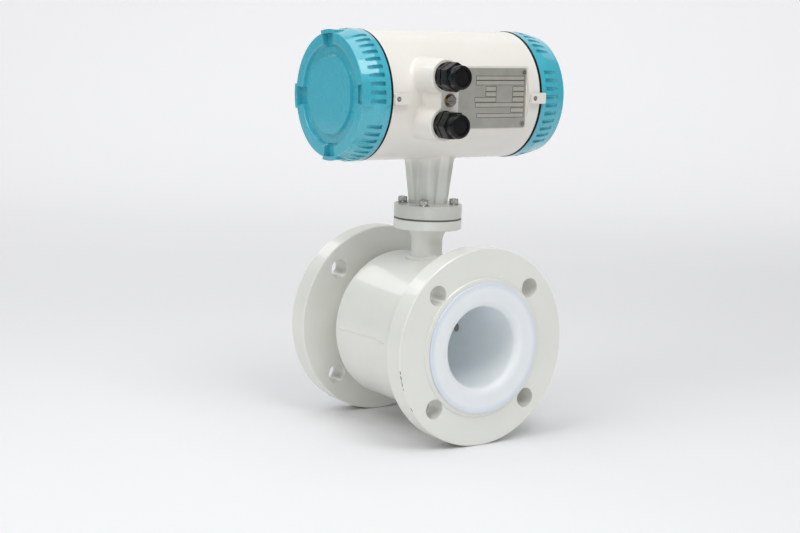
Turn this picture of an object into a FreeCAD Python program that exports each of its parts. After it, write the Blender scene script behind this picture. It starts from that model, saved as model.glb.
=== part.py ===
"""Electromagnetic flow meter: a flanged, PTFE-lined sensor with a cast round converter on a neck.

X runs along the pipe, Y along the converter, Z up. The origin is the centre of the bore.
The sheet holds the driving sizes in millimetres; every object below is bound to its cells.
"""
import FreeCAD, Part
import Sketcher

import math
import os

Vector = FreeCAD.Vector
Rotation = FreeCAD.Rotation

doc = FreeCAD.newDocument("flow_meter")
sheet = doc.addObject("Spreadsheet::Sheet", "sizes")

SIZES = {
    # pipe connection: flanges of the 3 inch class 150 pattern
    "face_to_face": 200, "flange_od": 190.5, "flange_thick": 22, "bolt_circle": 152.4,
    "bolt_hole": 19, "bolt_count": 4, "rim_chamfer": 1, "raised_od": 134.4, "raised_high": 1.5,
    # measuring tube and its liner
    "tube_od": 88.9, "tube_wall": 1.95, "tube_seat": 5, "bore": 79, "flare_od": 125.5,
    "flare_thick": 2, "mouth_round": 8, "throat_round": 3, "fit": 0.05,
    # drum round the coils
    "drum_od": 149, "drum_long": 94, "drum_wall": 2.5, "drum_end": 4, "drum_round": 2,
    # electrodes
    "head_od": 10, "head_thick": 2.2, "head_sunk": 2, "stem_od": 6, "boss_od": 22, "boss_top": 53,
    "bush_od": 14, "bush_top": 57, "nut_af": 10, "nut_thick": 5, "stem_top": 66,
    # coils and magnetic return
    "coil_inner": 46, "coil_outer": 57, "coil_long": 72, "coil_wide": 64, "coil_window": 38,
    "coil_hole": 30, "pole_top": 59, "yoke_thick": 3, "yoke_wide": 36, "coil_gap": 0.6,
    # neck
    "joint_z": 112.5, "gasket_thick": 1.5, "neck_flange_od": 67, "stub_flange_thick": 9.5,
    "head_flange_thick": 13, "stub_od": 31, "stub_flare": 4.5, "flare_high": 9,
    "weld_foot": 2, "weld_high": 3, "neck_bore": 20, "gasket_inset": 0.3, "flange_edge": 0.8,
    "screw_circle": 51, "screw_od": 5, "screw_gap": 0.25, "cap_head_od": 8.5,
    "cap_head_high": 5, "cap_socket": 4, "socket_deep": 2.5, "washer_od": 10, "washer_thick": 1,
    # converter housing
    "axis_z": 233.5, "thread_od": 114, "thread_deep": 15, "thread_step": 2.5, "case_wall": 5,
    "blind_y": 87.4, "window_y": 85.2, "partition_y": 14, "partition_thick": 4,
    "column_od": 36, "rib_thick": 11, "rib_foot": 2, "rib_reach": 28.5, "rib_top": 12.4,
    "corner_round": 3, "rib_round": 1.5, "foot_round": 1, "wire_way": 10, "wire_drop": 33,
    # cable entries
    "entry_y": 47.5, "entry_rise": 22, "entry_reach": 26, "entry_od": 32, "thread_m20": 20,
    "bridge_wide": 20.5, "bridge_shift": 5.2, "boss_round": 1.2,
    # glands
    "gland_af": 24, "seal_ring": 1, "gland_hex": 6, "nut_gap": 1.5, "nut_hex": 9,
    "nut_long": 18, "dome_od": 22.4, "dome_round": 6, "mouth_od": 15, "gland_stem": 17.6,
    "gland_bore": 13, "run_gap": 0.3, "gland_shank": 10, "hex_trim": 0.6, "mouth_deep": 3,
    "plug_thick": 3.1, "plug_lip": 0.5, "plug_flange": 2.1, "plug_sunk": 0.8,
    # covers
    "cover_proud": 0.5, "ring_gap": 2.1, "ring_inset": 0.3, "blind_high": 29,
    "window_high": 31, "band": 11, "lip_inset": 4, "lip_wide": 10.5, "lip_round": 1.2,
    "dish": 4, "dish_slope": 1, "cover_wall": 4.5, "spigot": 12, "spigot_wall": 5.5,
    "disc_od": 73, "disc_high": 3.5, "lug_inset": 1.3, "lug_wide": 24, "lug_long": 14,
    "pocket_wide": 19, "pocket_deep": 6, "pocket_wall": 1, "pocket_reach": 12.5,
    "groove_wide": 3.8, "groove_deep": 2.9, "groove_start": 5.5, "groove_long": 15.5,
    "groove_step": 7.5, "groove_group": 10, "gap_turn": 17.4, "blind_turn": 4,
    "window_turn": -17, "window_rim": 12.5, "glass_ledge": 4.5, "glass_lap": 3.5,
    "glass_thick": 8, "glass_gasket": 1, "retainer_thick": 4,
    # plates and small hardware
    "plate_sunk": 3.5, "plate_wide": 85, "plate_high": 57, "plate_thick": 0.8,
    "plate_mid_y": 27, "plate_margin": 2, "plate_inset": 4, "plate_round": 2, "rivet_od": 2.6,
    "rivet_long": 3, "rivet_head_od": 4.6, "rivet_head": 1.2, "lock_y_blind": 83.5,
    "lock_y_window": 76, "lock_reach": 13, "lock_heel": 4, "lock_wide": 10.5,
    "lock_thick": 3.6, "lock_boss_od": 7.6, "lock_boss": 0.8, "lock_round": 1.5,
    "lock_screw_od": 3, "lock_screw_long": 6, "lock_head_od": 4.2, "lock_head": 2.2,
    "lock_socket": 2.2, "ground_od": 5, "ground_long": 12, "ground_head_od": 9.5,
    "ground_head": 3, "ground_slot": 1.2, "ground_washer_od": 12.4,
    # electronics
    "board_inset": 5.5, "board_thick": 1.6, "main_y": 16, "power_y": 38, "display_y": 62,
    "bezel_inset": 2, "bezel_y": 70, "bezel_thick": 5, "lcd_wide": 60, "lcd_high": 32,
    "lcd_rise": 10, "lcd_sunk": 1.2, "key_od": 8, "key_pitch": 13, "key_drop": 24,
    "key_high": 2.5, "key_rim": 1, "key_rim_thick": 1.5, "spacer_od": 6, "spacer_hole": 3.2,
    "spacer_inset": 8, "block_wide": 74, "block_high": 22, "block_deep": 14, "ways": 10,
    "way_screw_od": 4.4, "way_sunk": 1, "way_screw_long": 4,
}
for row, (word, number) in enumerate(SIZES.items(), start=1):
    sheet.set("A%d" % row, word)
    sheet.set("B%d" % row, str(number))
    sheet.setAlias("B%d" % row, word)
doc.recompute()


class Size:
    """A number with the expression that gives it, so that arithmetic stays bound to the sheet."""

    def __init__(self, value, text):
        self.value = float(value)
        self.text = text

    def join(self, other, sign, value):
        return Size(value, "(%s %s %s)" % (self.text, sign, size(other).text))

    def __add__(self, other):
        return self.join(other, "+", self.value + size(other).value)

    def __sub__(self, other):
        return self.join(other, "-", self.value - size(other).value)

    def __mul__(self, other):
        return self.join(other, "*", self.value * size(other).value)

    def __truediv__(self, other):
        return self.join(other, "/", self.value / size(other).value)

    def __radd__(self, other):
        return size(other) + self

    def __rsub__(self, other):
        return size(other) - self

    def __rmul__(self, other):
        return size(other) * self

    def __neg__(self):
        return Size(-self.value, "(-1 * %s)" % self.text)


def size(number):
    return number if isinstance(number, Size) else Size(number, "%.9g" % number)


class Sheet:
    """The sheet's cells as Size values, read by their word."""

    def __getattr__(self, word):
        return Size(sheet.get(word), "sizes.%s" % word)


S = Sheet()
AXES = {
    "Z": Rotation(),
    "X": Rotation(Vector(0, 1, 0), 90),
    "-X": Rotation(Vector(0, 1, 0), -90),
    "Y": Rotation(Vector(1, 0, 0), -90),
    "-Y": Rotation(Vector(1, 0, 0), 90),
}


def bind(thing, name, number):
    """Ties one property, or one part of a placement, to its expression."""
    thing.setExpression(name, size(number).text)


def place(thing, at=(0, 0, 0), axis="Z", spin=0):
    """Puts a thing with its own Z along the named axis, turned by spin about that axis."""
    turn = AXES[axis].multiply(Rotation(Vector(0, 0, 1), size(spin).value))
    thing.Placement = FreeCAD.Placement(Vector(*[size(one).value for one in at]), turn)
    for letter, number in zip("xyz", at):
        bind(thing, "Placement.Base." + letter, number)
    return thing


def along(at, axis, distance):
    """A point moved along the named axis."""
    step = AXES[axis].multVec(Vector(0, 0, 1))
    moved = []
    for one, way in zip(at, (round(step.x), round(step.y), round(step.z))):
        moved.append(one + distance * way if way else one)
    return tuple(moved)


def polar(radius, angle):
    """The two coordinates of a point on a circle."""
    turn = math.radians(angle)
    return radius * round(math.cos(turn), 9), radius * round(math.sin(turn), 9)


def cylinder(name, radius, height, at=(0, 0, 0), axis="Z"):
    thing = doc.addObject("Part::Cylinder", name)
    bind(thing, "Radius", radius)
    bind(thing, "Height", height)
    return place(thing, at, axis)


def box(name, length, width, height, at=(0, 0, 0)):
    """A box centred on its place in X and Y, standing on it in Z."""
    thing = doc.addObject("Part::Box", name)
    for side, number in (("Length", length), ("Width", width), ("Height", height)):
        bind(thing, side, number)
    return place(thing, (at[0] - size(length) / 2, at[1] - size(width) / 2, at[2]))


def prism(name, across, height, at=(0, 0, 0), axis="Z", spin=0):
    """A hexagonal bar, sized across its flats."""
    thing = doc.addObject("Part::Prism", name)
    thing.Polygon = 6
    bind(thing, "Circumradius", size(across) / round(math.sqrt(3), 9))
    bind(thing, "Height", height)
    return place(thing, at, axis, spin)


def fuse(name, pieces):
    thing = doc.addObject("Part::MultiFuse", name)
    thing.Shapes = pieces
    thing.Refine = True
    return thing


def common(name, pieces):
    thing = doc.addObject("Part::MultiCommon", name)
    thing.Shapes = pieces
    return thing


def cut(name, base, tools):
    thing = doc.addObject("Part::Cut", name)
    thing.Base = base
    thing.Tool = tools[0] if len(tools) == 1 else fuse(name + "_tools", tools)
    thing.Refine = True
    return thing


def new_sketch(body, name, plane):
    drawing = body.newObject("Sketcher::SketchObject", name)
    origin = [face for face in body.Origin.OriginFeatures if face.Role == plane][0]
    drawing.AttachmentSupport = [(origin, "")]
    drawing.MapMode = "FlatFace"
    return drawing


def outline(body, name, points, plane="XZ_Plane"):
    """A closed outline of straight sides, each corner held by two bound distances."""
    drawing = new_sketch(body, name, plane)
    corners = [(size(x), size(y)) for x, y in points]
    spots = [Vector(x.value, y.value, 0) for x, y in corners]
    last = len(spots) - 1
    for i, spot in enumerate(spots):
        drawing.addGeometry(Part.LineSegment(spot, spots[0 if i == last else i + 1]))
    Constraint = Sketcher.Constraint
    for i in range(len(spots)):
        drawing.addConstraint(Constraint("Coincident", i, 2, 0 if i == last else i + 1, 1))
    for i, corner in enumerate(corners):
        for kind, number, line in (("DistanceX", corner[0], -2), ("DistanceY", corner[1], -1)):
            if abs(number.value) < 1e-9:
                drawing.addConstraint(Constraint("PointOnObject", i, 1, line))
            elif number.value > 0:
                where = drawing.addConstraint(Constraint(kind, -1, 1, i, 1, number.value))
                drawing.setExpression("Constraints[%d]" % where, number.text)
            else:
                where = drawing.addConstraint(Constraint(kind, i, 1, -1, 1, -number.value))
                drawing.setExpression("Constraints[%d]" % where, (-number).text)
    return drawing


def new_body(name, at=(0, 0, 0), axis="Z", spin=0):
    return place(doc.addObject("PartDesign::Body", name), at, axis, spin)


def revolve(body, name, points, kind="PartDesign::Revolution", angle=360):
    """Turns an outline of (radius, height) corners about the body's own Z."""
    turned = body.newObject(kind, name)
    turned.Profile = outline(body, name + "_outline", points)
    turned.ReferenceAxis = (turned.Profile[0], ["V_Axis"])
    if angle == 360:
        turned.Angle = 360
    else:
        turned.Midplane = True
        bind(turned, "Angle", angle)
    doc.recompute()
    return turned


def turned_part(name, points, at=(0, 0, 0), axis="Z", spin=0):
    body = new_body(name, at, axis, spin)
    revolve(body, name + "_turned", points)
    return body


def repeat(body, name, feature, steps):
    """Repeats a feature round the body's Z: each step is a count and the angle it covers."""
    axis = [line for line in body.Origin.OriginFeatures if line.Role == "Z_Axis"][0]
    if len(steps) == 1:
        pattern = body.newObject("PartDesign::PolarPattern", name)
        rings = [pattern]
        pattern.Originals = [feature]
    else:
        pattern = body.newObject("PartDesign::MultiTransform", name)
        pattern.Originals = [feature]
        rings = [body.newObject("PartDesign::PolarPattern", name + "_ring") for _ in steps]
    for ring, (count, angle) in zip(rings, steps):
        ring.Axis = (axis, [""])
        bind(ring, "Occurrences", count)
        bind(ring, "Angle", angle)
    if len(steps) > 1:
        pattern.Transformations = rings
    body.Tip = pattern
    doc.recompute()
    return pattern


def soften(body, name, radius, wanted, kind="PartDesign::Fillet"):
    """Rounds or bevels the edges of the body's tip that the test picks."""
    doc.recompute()
    base = body.Tip
    edges = base.Shape.Edges
    picked = ["Edge%d" % i for i, edge in enumerate(edges, start=1) if wanted(edge)]
    thing = body.newObject(kind, name)
    thing.Base = (base, picked)
    bind(thing, "Radius" if kind.endswith("Fillet") else "Size", radius)
    doc.recompute()
    return thing


def body_from(name, base):
    """A body that goes on from a finished boolean, so that its edges can be rounded."""
    doc.recompute()
    body = doc.addObject("PartDesign::Body", name)
    body.BaseFeature = base
    doc.recompute()
    return body


def bevel(body, name, length, wanted):
    return soften(body, name, length, wanted, "PartDesign::Chamfer")


def ring_at(*places):
    """Picks circular edges about the body's Z by their (radius, height)."""
    wanted = [(size(radius).value, size(height).value) for radius, height in places]

    def test(edge):
        if not isinstance(edge.Curve, Part.Circle):
            return False
        centre = edge.Curve.Center
        if math.hypot(centre.x, centre.y) > 1e-4:
            return False
        return any(abs(edge.Curve.Radius - r) < 1e-3 and abs(centre.z - z) < 1e-3
                   for r, z in wanted)
    return test


def straight_along_z(edge):
    """Picks straight edges that run along Z."""
    if not isinstance(edge.Curve, Part.Line):
        return False
    return abs(edge.Curve.Direction.z) > 0.999


nodes = []


def node(thing, label):
    """Names a finished piece: its label is the name of its file."""
    thing.Label = label
    nodes.append(thing)
    return thing


# ---------------------------------------------------------------- sensor: tube, flanges, liner
half_face = S.face_to_face / 2
flange_face = half_face - S.flare_thick - S.raised_high
tube_radius = S.tube_od / 2
tube_inner = tube_radius - S.tube_wall
tube_end = flange_face - S.tube_seat


def measuring_tube():
    """Stainless tube with two welded bosses that carry the electrodes."""
    tube = cylinder("tube_bar", tube_radius, tube_end * 2, (-tube_end, 0, 0), "X")
    bosses = [cylinder("boss_" + side, S.boss_od / 2, S.boss_top, (0, 0, 0), side)
              for side in ("Y", "-Y")]
    hollow = cylinder("tube_hollow", tube_inner, tube_end * 2 + 2, (-tube_end - 1, 0, 0), "X")
    ports = [cylinder("port_" + side, S.bush_od / 2 + S.fit, S.boss_top + 1, (0, 0, 0), side)
             for side in ("Y", "-Y")]
    solid = fuse("tube_and_bosses", [tube] + bosses)
    return node(cut("measuring_tube", solid, [hollow] + ports), "measuring_tube")


def flange(label, axis):
    """Welding flange: socket for the tube, raised face and four bolt holes."""
    outer = S.flange_od / 2
    raised = S.raised_od / 2
    back = flange_face - S.flange_thick
    face = flange_face + S.raised_high
    body = new_body(label, (0, 0, 0), axis, 45)
    revolve(body, label + "_disc", [
        (tube_radius + S.fit, back), (outer, back), (outer, flange_face),
        (raised, flange_face), (raised, face), (tube_inner, face), (tube_inner, tube_end),
        (tube_radius + S.fit, tube_end)])
    bevel(body, label + "_bevels", S.rim_chamfer,
          ring_at((outer, back), (outer, flange_face), (raised, face)))
    soften(body, label + "_throat", S.throat_round, ring_at((tube_inner, face)))
    hole = revolve_cut_at(body, label + "_hole", S.bolt_circle / 2, [
        (0, back - 1), (S.bolt_hole / 2, back - 1), (S.bolt_hole / 2, face + 1), (0, face + 1)])
    repeat(body, label + "_holes", hole, [(S.bolt_count, 360)])
    return node(body, label)


def revolve_cut_at(body, name, circle, points):
    """A round hole on a circle about the body's Z."""
    groove = body.newObject("PartDesign::Groove", name)
    drawing = outline(body, name + "_outline", points)
    bind(drawing, "AttachmentOffset.Base.x", circle)
    groove.Profile = drawing
    groove.ReferenceAxis = (drawing, ["V_Axis"])
    groove.Angle = 360
    doc.recompute()
    return groove


def ptfe_liner():
    """Liner turned over both raised faces, with a rounded mouth at each end."""
    back = half_face - S.flare_thick
    skin = tube_inner - S.fit
    body = turned_part("liner", [
        (S.bore / 2, -half_face), (S.flare_od / 2, -half_face), (S.flare_od / 2, -back),
        (skin, -back), (skin, back), (S.flare_od / 2, back), (S.flare_od / 2, half_face),
        (S.bore / 2, half_face)], axis="X")
    mouths = ring_at((S.bore / 2, half_face), (S.bore / 2, -half_face))
    soften(body, "liner_mouths", S.mouth_round, mouths)
    throats = ring_at((skin, back), (skin, -back))
    soften(body, "liner_throats", S.throat_round, throats)
    rims = ring_at((S.flare_od / 2, half_face), (S.flare_od / 2, -half_face))
    soften(body, "liner_rims", S.fit * 12, rims)
    bores = []
    for side in ("Y", "-Y"):
        bores.append(cylinder("liner_port_" + side, S.stem_od / 2 + S.fit, tube_radius,
                              (0, 0, 0), side))
        bores.append(cylinder("liner_seat_" + side, S.head_od / 2 + S.fit, head_seat,
                              (0, 0, 0), side))
    return node(cut("liner_with_ports", body, bores), "ptfe_liner")


# ---------------------------------------------------------------- electrodes
head_seat = S.bore / 2 + S.head_sunk
bush_foot = tube_inner + S.fit * 2


def electrode(label, axis):
    """Pin with a domed head in the bore and a stem out through the bush."""
    radius = S.head_od / 2
    front = head_seat - S.head_thick
    body = turned_part(label, [
        (0, front), (radius, front), (radius, head_seat), (S.stem_od / 2, head_seat),
        (S.stem_od / 2, S.stem_top), (0, S.stem_top)], axis=axis)
    soften(body, label + "_dome", S.head_thick / 2, ring_at((radius, front)))
    return node(body, label)


def electrode_bushes():
    """Two insulating bushes, one in each boss of the tube."""
    rings = []
    for side in ("Y", "-Y"):
        sleeve = cylinder("sleeve_" + side, S.bush_od / 2, S.bush_top, (0, 0, 0), side)
        collar = cylinder("collar_" + side, S.boss_od / 2, S.bush_top, (0, 0, 0), side)
        below = cylinder("below_" + side, S.boss_od, S.boss_top, (0, 0, 0), side)
        inside = cylinder("inside_" + side, S.boss_od, bush_foot, (0, 0, 0), side)
        way = cylinder("way_" + side, S.stem_od / 2 + S.fit, S.stem_top, (0, 0, 0), side)
        rings.append(cut("bush_" + side, fuse("blank_" + side, [
            sleeve, cut("rim_" + side, collar, [below])]), [inside, way]))
    return node(fuse("electrode_bushes", rings), "electrode_bushes")


def electrode_nuts():
    """A nut on each stem, tightened on its bush."""
    nuts = []
    for side in ("Y", "-Y"):
        offset = polar(S.bush_top, 90 if side == "Y" else -90)[1]
        blank = prism("nut_" + side, S.nut_af, S.nut_thick, (0, offset, 0), side)
        way = cylinder("nut_way_" + side, S.stem_od / 2 + S.fit, S.stem_top, (0, 0, 0), side)
        nuts.append(cut("drilled_" + side, blank, [way]))
    return node(fuse("electrode_nuts", nuts), "electrode_nuts")


# ---------------------------------------------------------------- drum, coils and return ring
drum_radius = S.drum_od / 2
half_drum = S.drum_long / 2


def coil_casing():
    """Welded drum that closes over the coils, open only to the neck."""
    hole = tube_radius + S.fit
    inside = drum_radius - S.drum_wall
    body = turned_part("drum", [
        (hole, -half_drum), (drum_radius, -half_drum), (drum_radius, half_drum),
        (hole, half_drum), (hole, half_drum - S.drum_end), (inside, half_drum - S.drum_end),
        (inside, S.drum_end - half_drum), (hole, S.drum_end - half_drum)], axis="X")
    rims = ring_at((drum_radius, half_drum), (drum_radius, -half_drum))
    soften(body, "drum_rims", S.drum_round, rims)
    way = cylinder("drum_way", S.neck_bore / 2, drum_radius * 1.2, (0, 0, 0), "Z")
    return node(cut("drum_with_way", body, [way]), "coil_casing")


def shell(name, inner, outer, length):
    """A tube about the pipe's axis, centred on the electrodes."""
    bar = cylinder(name + "_bar", outer, length, (-length / 2, 0, 0), "X")
    core = cylinder(name + "_core", inner, length + 2, (-length / 2 - 1, 0, 0), "X")
    return cut(name, bar, [core])


def saddle_coil(label, side):
    """Saddle winding bent over the tube, with a window for its pole shoe."""
    winding = shell(label + "_shell", S.coil_inner, S.coil_outer, S.coil_long)
    floor = 0 if side > 0 else -S.coil_outer
    block = box(label + "_block", S.coil_long, S.coil_wide, S.coil_outer, (0, 0, floor))
    window = box(label + "_window", S.coil_window + S.coil_gap * 2,
                 S.coil_hole + S.coil_gap * 2, S.coil_outer * 2, (0, 0, -S.coil_outer))
    return node(cut(label + "_wound", common(label + "_saddle", [winding, block]), [window]), label)


def pole_shoe(label, side):
    """Iron core that fills the coil's window and lies on the tube."""
    iron = shell(label + "_shell", tube_radius + S.coil_gap / 2, S.pole_top, S.coil_window)
    floor = 0 if side > 0 else -S.pole_top
    block = box(label + "_block", S.coil_window, S.coil_hole, S.pole_top, (0, 0, floor))
    return node(common(label + "_core", [iron, block]), label)


def coil_yoke():
    """Ring that closes the magnetic path, with clear holes for the electrodes and wires."""
    band = shell("yoke_band", S.pole_top + S.fit, S.pole_top + S.yoke_thick, S.yoke_wide)
    ways = [cylinder("yoke_way_" + side, S.boss_od / 2 + 1, drum_radius, (0, 0, 0), side)
            for side in ("Y", "-Y", "Z")]
    return node(cut("yoke_drilled", band, ways), "coil_yoke")


# ---------------------------------------------------------------- neck
stub_top = S.joint_z
gasket_top = stub_top + S.gasket_thick
column_foot = gasket_top + S.head_flange_thick
neck_radius = S.neck_flange_od / 2
neck_angles = [45, 135, 225, 315]


def neck_holes(name, radius, bottom, height):
    return [cylinder("%s_%d" % (name, angle), radius, height,
                     polar(S.screw_circle / 2, angle) + (bottom,)) for angle in neck_angles]


def neck_stub():
    """Turned stub with its flange, its foot cut to the drum and run out in the weld."""
    foot = drum_radius - S.drum_wall
    flange_foot = stub_top - S.stub_flange_thick
    radius = S.stub_od / 2
    body = turned_part("stub", [
        (S.neck_bore / 2, foot), (radius + S.weld_foot, foot),
        (radius + S.weld_foot, drum_radius - S.weld_high / 3),
        (radius, drum_radius + S.weld_high), (radius, flange_foot - S.flare_high),
        (radius + S.stub_flare, flange_foot), (neck_radius, flange_foot),
        (neck_radius, stub_top), (S.neck_bore / 2, stub_top)])
    edges = ring_at((radius, flange_foot - S.flare_high), (radius, drum_radius + S.weld_high))
    soften(body, "stub_runs", S.flare_high * 1.6, edges)
    soften(body, "stub_rims", S.flange_edge,
           ring_at((neck_radius, flange_foot), (neck_radius, stub_top)))
    drum = cylinder("stub_saddle", drum_radius, S.drum_long, (-half_drum, 0, 0), "X")
    threads = neck_holes("stub_thread", S.screw_od / 2 + S.fit, flange_foot - 1,
                         S.stub_flange_thick + 2)
    return node(cut("stub_drilled", body, [drum] + threads), "neck_stub")


def neck_gasket():
    disc = cylinder("gasket_disc", neck_radius - S.gasket_inset, S.gasket_thick, (0, 0, stub_top))
    way = cylinder("gasket_way", S.neck_bore / 2, S.gasket_thick + 2, (0, 0, stub_top - 1))
    holes = neck_holes("gasket_hole", S.screw_od / 2 + S.screw_gap, stub_top - 1,
                       S.gasket_thick + 2)
    return node(cut("gasket_punched", disc, [way] + holes), "neck_gasket")


def socket_screw(name, length, at=(0, 0, 0), axis="Z"):
    """Socket head screw whose seat is its own origin, the shank below it."""
    head = cylinder(name + "_head", S.cap_head_od / 2, S.cap_head_high, at, axis)
    shank = cylinder(name + "_shank", S.screw_od / 2, length, along(at, axis, -length), axis)
    key = prism(name + "_key", S.cap_socket, S.cap_head_high,
                along(at, axis, S.cap_head_high - S.socket_deep), axis)
    return cut(name, fuse(name + "_blank", [head, shank]), [key])


def neck_screws():
    seat = column_foot + S.washer_thick
    length = S.washer_thick + S.head_flange_thick + S.gasket_thick + S.stub_flange_thick
    screws = [socket_screw("neck_screw_%d" % angle, length,
                           polar(S.screw_circle / 2, angle) + (seat,)) for angle in neck_angles]
    return node(fuse("neck_screw_set", screws), "neck_screws")


def neck_washers():
    rings = []
    for angle in neck_angles:
        spot = polar(S.screw_circle / 2, angle) + (column_foot,)
        disc = cylinder("washer_%d" % angle, S.washer_od / 2, S.washer_thick, spot)
        way = cylinder("washer_way_%d" % angle, S.screw_od / 2 + S.screw_gap,
                       S.washer_thick * 3, (spot[0], spot[1], spot[2] - S.washer_thick))
        rings.append(cut("washer_ring_%d" % angle, disc, [way]))
    return node(fuse("neck_washer_set", rings), "neck_washers")


# ---------------------------------------------------------------- converter housing
thread_radius = S.thread_od / 2
case_radius = thread_radius + S.case_wall
cavity = thread_radius - S.thread_step
column_radius = S.column_od / 2
entries = {"upper": S.entry_rise, "lower": -S.entry_rise}
entry_x = case_radius + S.entry_reach
entry_hole = S.thread_m20 / 2 + S.fit
bridge_y = -S.entry_y + S.bridge_shift
plate_seat = case_radius - S.plate_sunk
plate_edge = S.plate_wide / 2 + S.plate_margin
lock_seat = case_radius + S.lock_boss
lock_screw_hole = S.lock_screw_od / 2 + S.fit


def lock_places():
    return {"blind": -S.lock_y_blind, "window": size(S.lock_y_window)}


def plate_holes(name, radius, foot, depth):
    """Cylinders on the plate's four screw places, standing outward on their foot."""
    across = S.plate_wide / 2 - S.plate_inset
    rise = S.plate_high / 2 - S.plate_inset
    places = [(y, z) for y in (-1, 1) for z in (-1, 1)]
    return [cylinder("%s_%d" % (name, i), radius, depth,
                     (foot, S.plate_mid_y + across * y, S.axis_z + rise * z), "X")
            for i, (y, z) in enumerate(places)]


def rib(name, on_x):
    """Tapered gusset through the neck's column, wider at the housing."""
    thing = doc.addObject("Part::Wedge", name)
    top = S.axis_z - case_radius + S.rib_top
    bind(thing, "Ymin", 0)
    bind(thing, "Ymax", top - column_foot)
    foot = column_radius + S.rib_foot
    for low, high, near, far in (("Xmin", "Xmax", "X2min", "X2max"), ("Zmin", "Zmax", "Z2min", "Z2max")):
        tapered = (low == "Xmin") == on_x
        bind(thing, low, -foot if tapered else -S.rib_thick / 2)
        bind(thing, high, foot if tapered else S.rib_thick / 2)
        bind(thing, near, -S.rib_reach if tapered else -S.rib_thick / 2)
        bind(thing, far, S.rib_reach if tapered else S.rib_thick / 2)
    thing.Placement = FreeCAD.Placement(Vector(0, 0, column_foot.value), Rotation(Vector(1, 0, 0), 90))
    bind(thing, "Placement.Base.z", column_foot)
    return thing


def neck_edges(part):
    """Picks the cast neck's corners: in the column, on the ribs, at the barrel or at the foot."""
    foot = column_foot.value
    barrel_low = (S.axis_z - case_radius).value

    def test(edge):
        bounds = edge.BoundBox
        if bounds.ZMin > foot + 1 and part == "barrel":
            return bounds.ZMin > barrel_low - 8 and bounds.ZMax < barrel_low + 20 and edge.Length < 40
        if part == "foot":
            return bounds.ZMin > foot - 0.01 and bounds.ZMax < foot + 0.01 and edge.Length < 40
        if not isinstance(edge.Curve, Part.Line) or bounds.ZLength < 20:
            return False
        centre = edge.CenterOfMass
        near, far = sorted((abs(centre.x), abs(centre.y)))
        if near < S.rib_thick.value / 4 or not foot < centre.z < barrel_low + 10:
            return False
        return (far < column_radius.value) == (part == "column")
    return test


def rounded_neck():
    """The barrel on its ribbed column and flange, with cast corners."""
    foot = turned_part("neck_flange", [
        (0, gasket_top), (neck_radius, gasket_top), (neck_radius, column_foot), (0, column_foot)])
    soften(foot, "neck_flange_rims", S.flange_edge,
           ring_at((neck_radius, gasket_top), (neck_radius, column_foot)))
    barrel = cylinder("barrel", case_radius, S.blind_y + S.window_y, (0, -S.blind_y, S.axis_z), "Y")
    column = cylinder("column", column_radius, S.axis_z - column_foot, (0, 0, column_foot))
    ribs = [rib("rib_x", True), rib("rib_y", False)]
    body = body_from("neck_casting", fuse("neck_raw", [barrel, column, foot] + ribs))
    soften(body, "column_corners", S.corner_round, neck_edges("column"))
    soften(body, "rib_corners", S.rib_round, neck_edges("rib"))
    soften(body, "barrel_corners", S.corner_round, neck_edges("barrel"))
    soften(body, "foot_corners", S.foot_round, neck_edges("foot"))
    return body


def entry_block():
    """The two cable bosses and the bridge between them, edges rounded at the front."""
    bosses = [cylinder(side + "_boss", S.entry_od / 2, entry_x, (0, -S.entry_y, S.axis_z + rise), "X")
              for side, rise in entries.items()]
    bridge = box("bridge", entry_x, S.bridge_wide, S.entry_rise * 2,
                 (entry_x / 2, bridge_y, S.axis_z - S.entry_rise))
    body = body_from("entry_casting", fuse("entry_raw", bosses + [bridge]))
    soften(body, "entry_rims", S.boss_round,
           lambda edge: edge.BoundBox.XMin > entry_x.value - 0.01)
    return body


def entry_edges(edge):
    """Picks the inner corners where bosses, bridge and barrel meet."""
    bounds = edge.BoundBox
    reach = (S.entry_od / 2 + 2).value
    middle = -S.entry_y.value
    if bounds.YMin < middle - reach or bounds.YMax > middle + reach:
        return False
    if abs(bounds.Center.z - S.axis_z.value) > S.entry_rise.value + reach:
        return False
    if bounds.XMin < case_radius.value * 0.6 or bounds.XMin > case_radius.value + 0.5:
        return False
    on_bridge = abs(abs(bounds.Center.y - bridge_y.value) - S.bridge_wide.value / 2) < 0.1
    return on_bridge or bounds.XMax < case_radius.value + 0.5


def housing_outside():
    """The casting's outside: cylinder, neck, cable bosses, bridge and pads."""
    plate_rise = S.plate_high / 2 + S.plate_margin
    pad = box("plate_pad", plate_seat, plate_edge * 2, plate_rise * 2,
              (plate_seat / 2, S.plate_mid_y, S.axis_z - plate_rise))
    facet = box("plate_facet", case_radius, plate_edge * 2, plate_rise * 2,
                (plate_seat + case_radius / 2, S.plate_mid_y, S.axis_z - plate_rise))
    seats = [cylinder(side + "_lock_seat", S.lock_boss_od / 2, lock_seat, (0, y, S.axis_z), "X")
             for side, y in lock_places().items()]
    faced = cut("faced_barrel", fuse("barrel_and_pad", [rounded_neck(), pad]), [facet])
    body = body_from("casting", fuse("casting_raw", [faced, entry_block()] + seats))
    soften(body, "entry_corners", S.corner_round, entry_edges)
    return body


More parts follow.
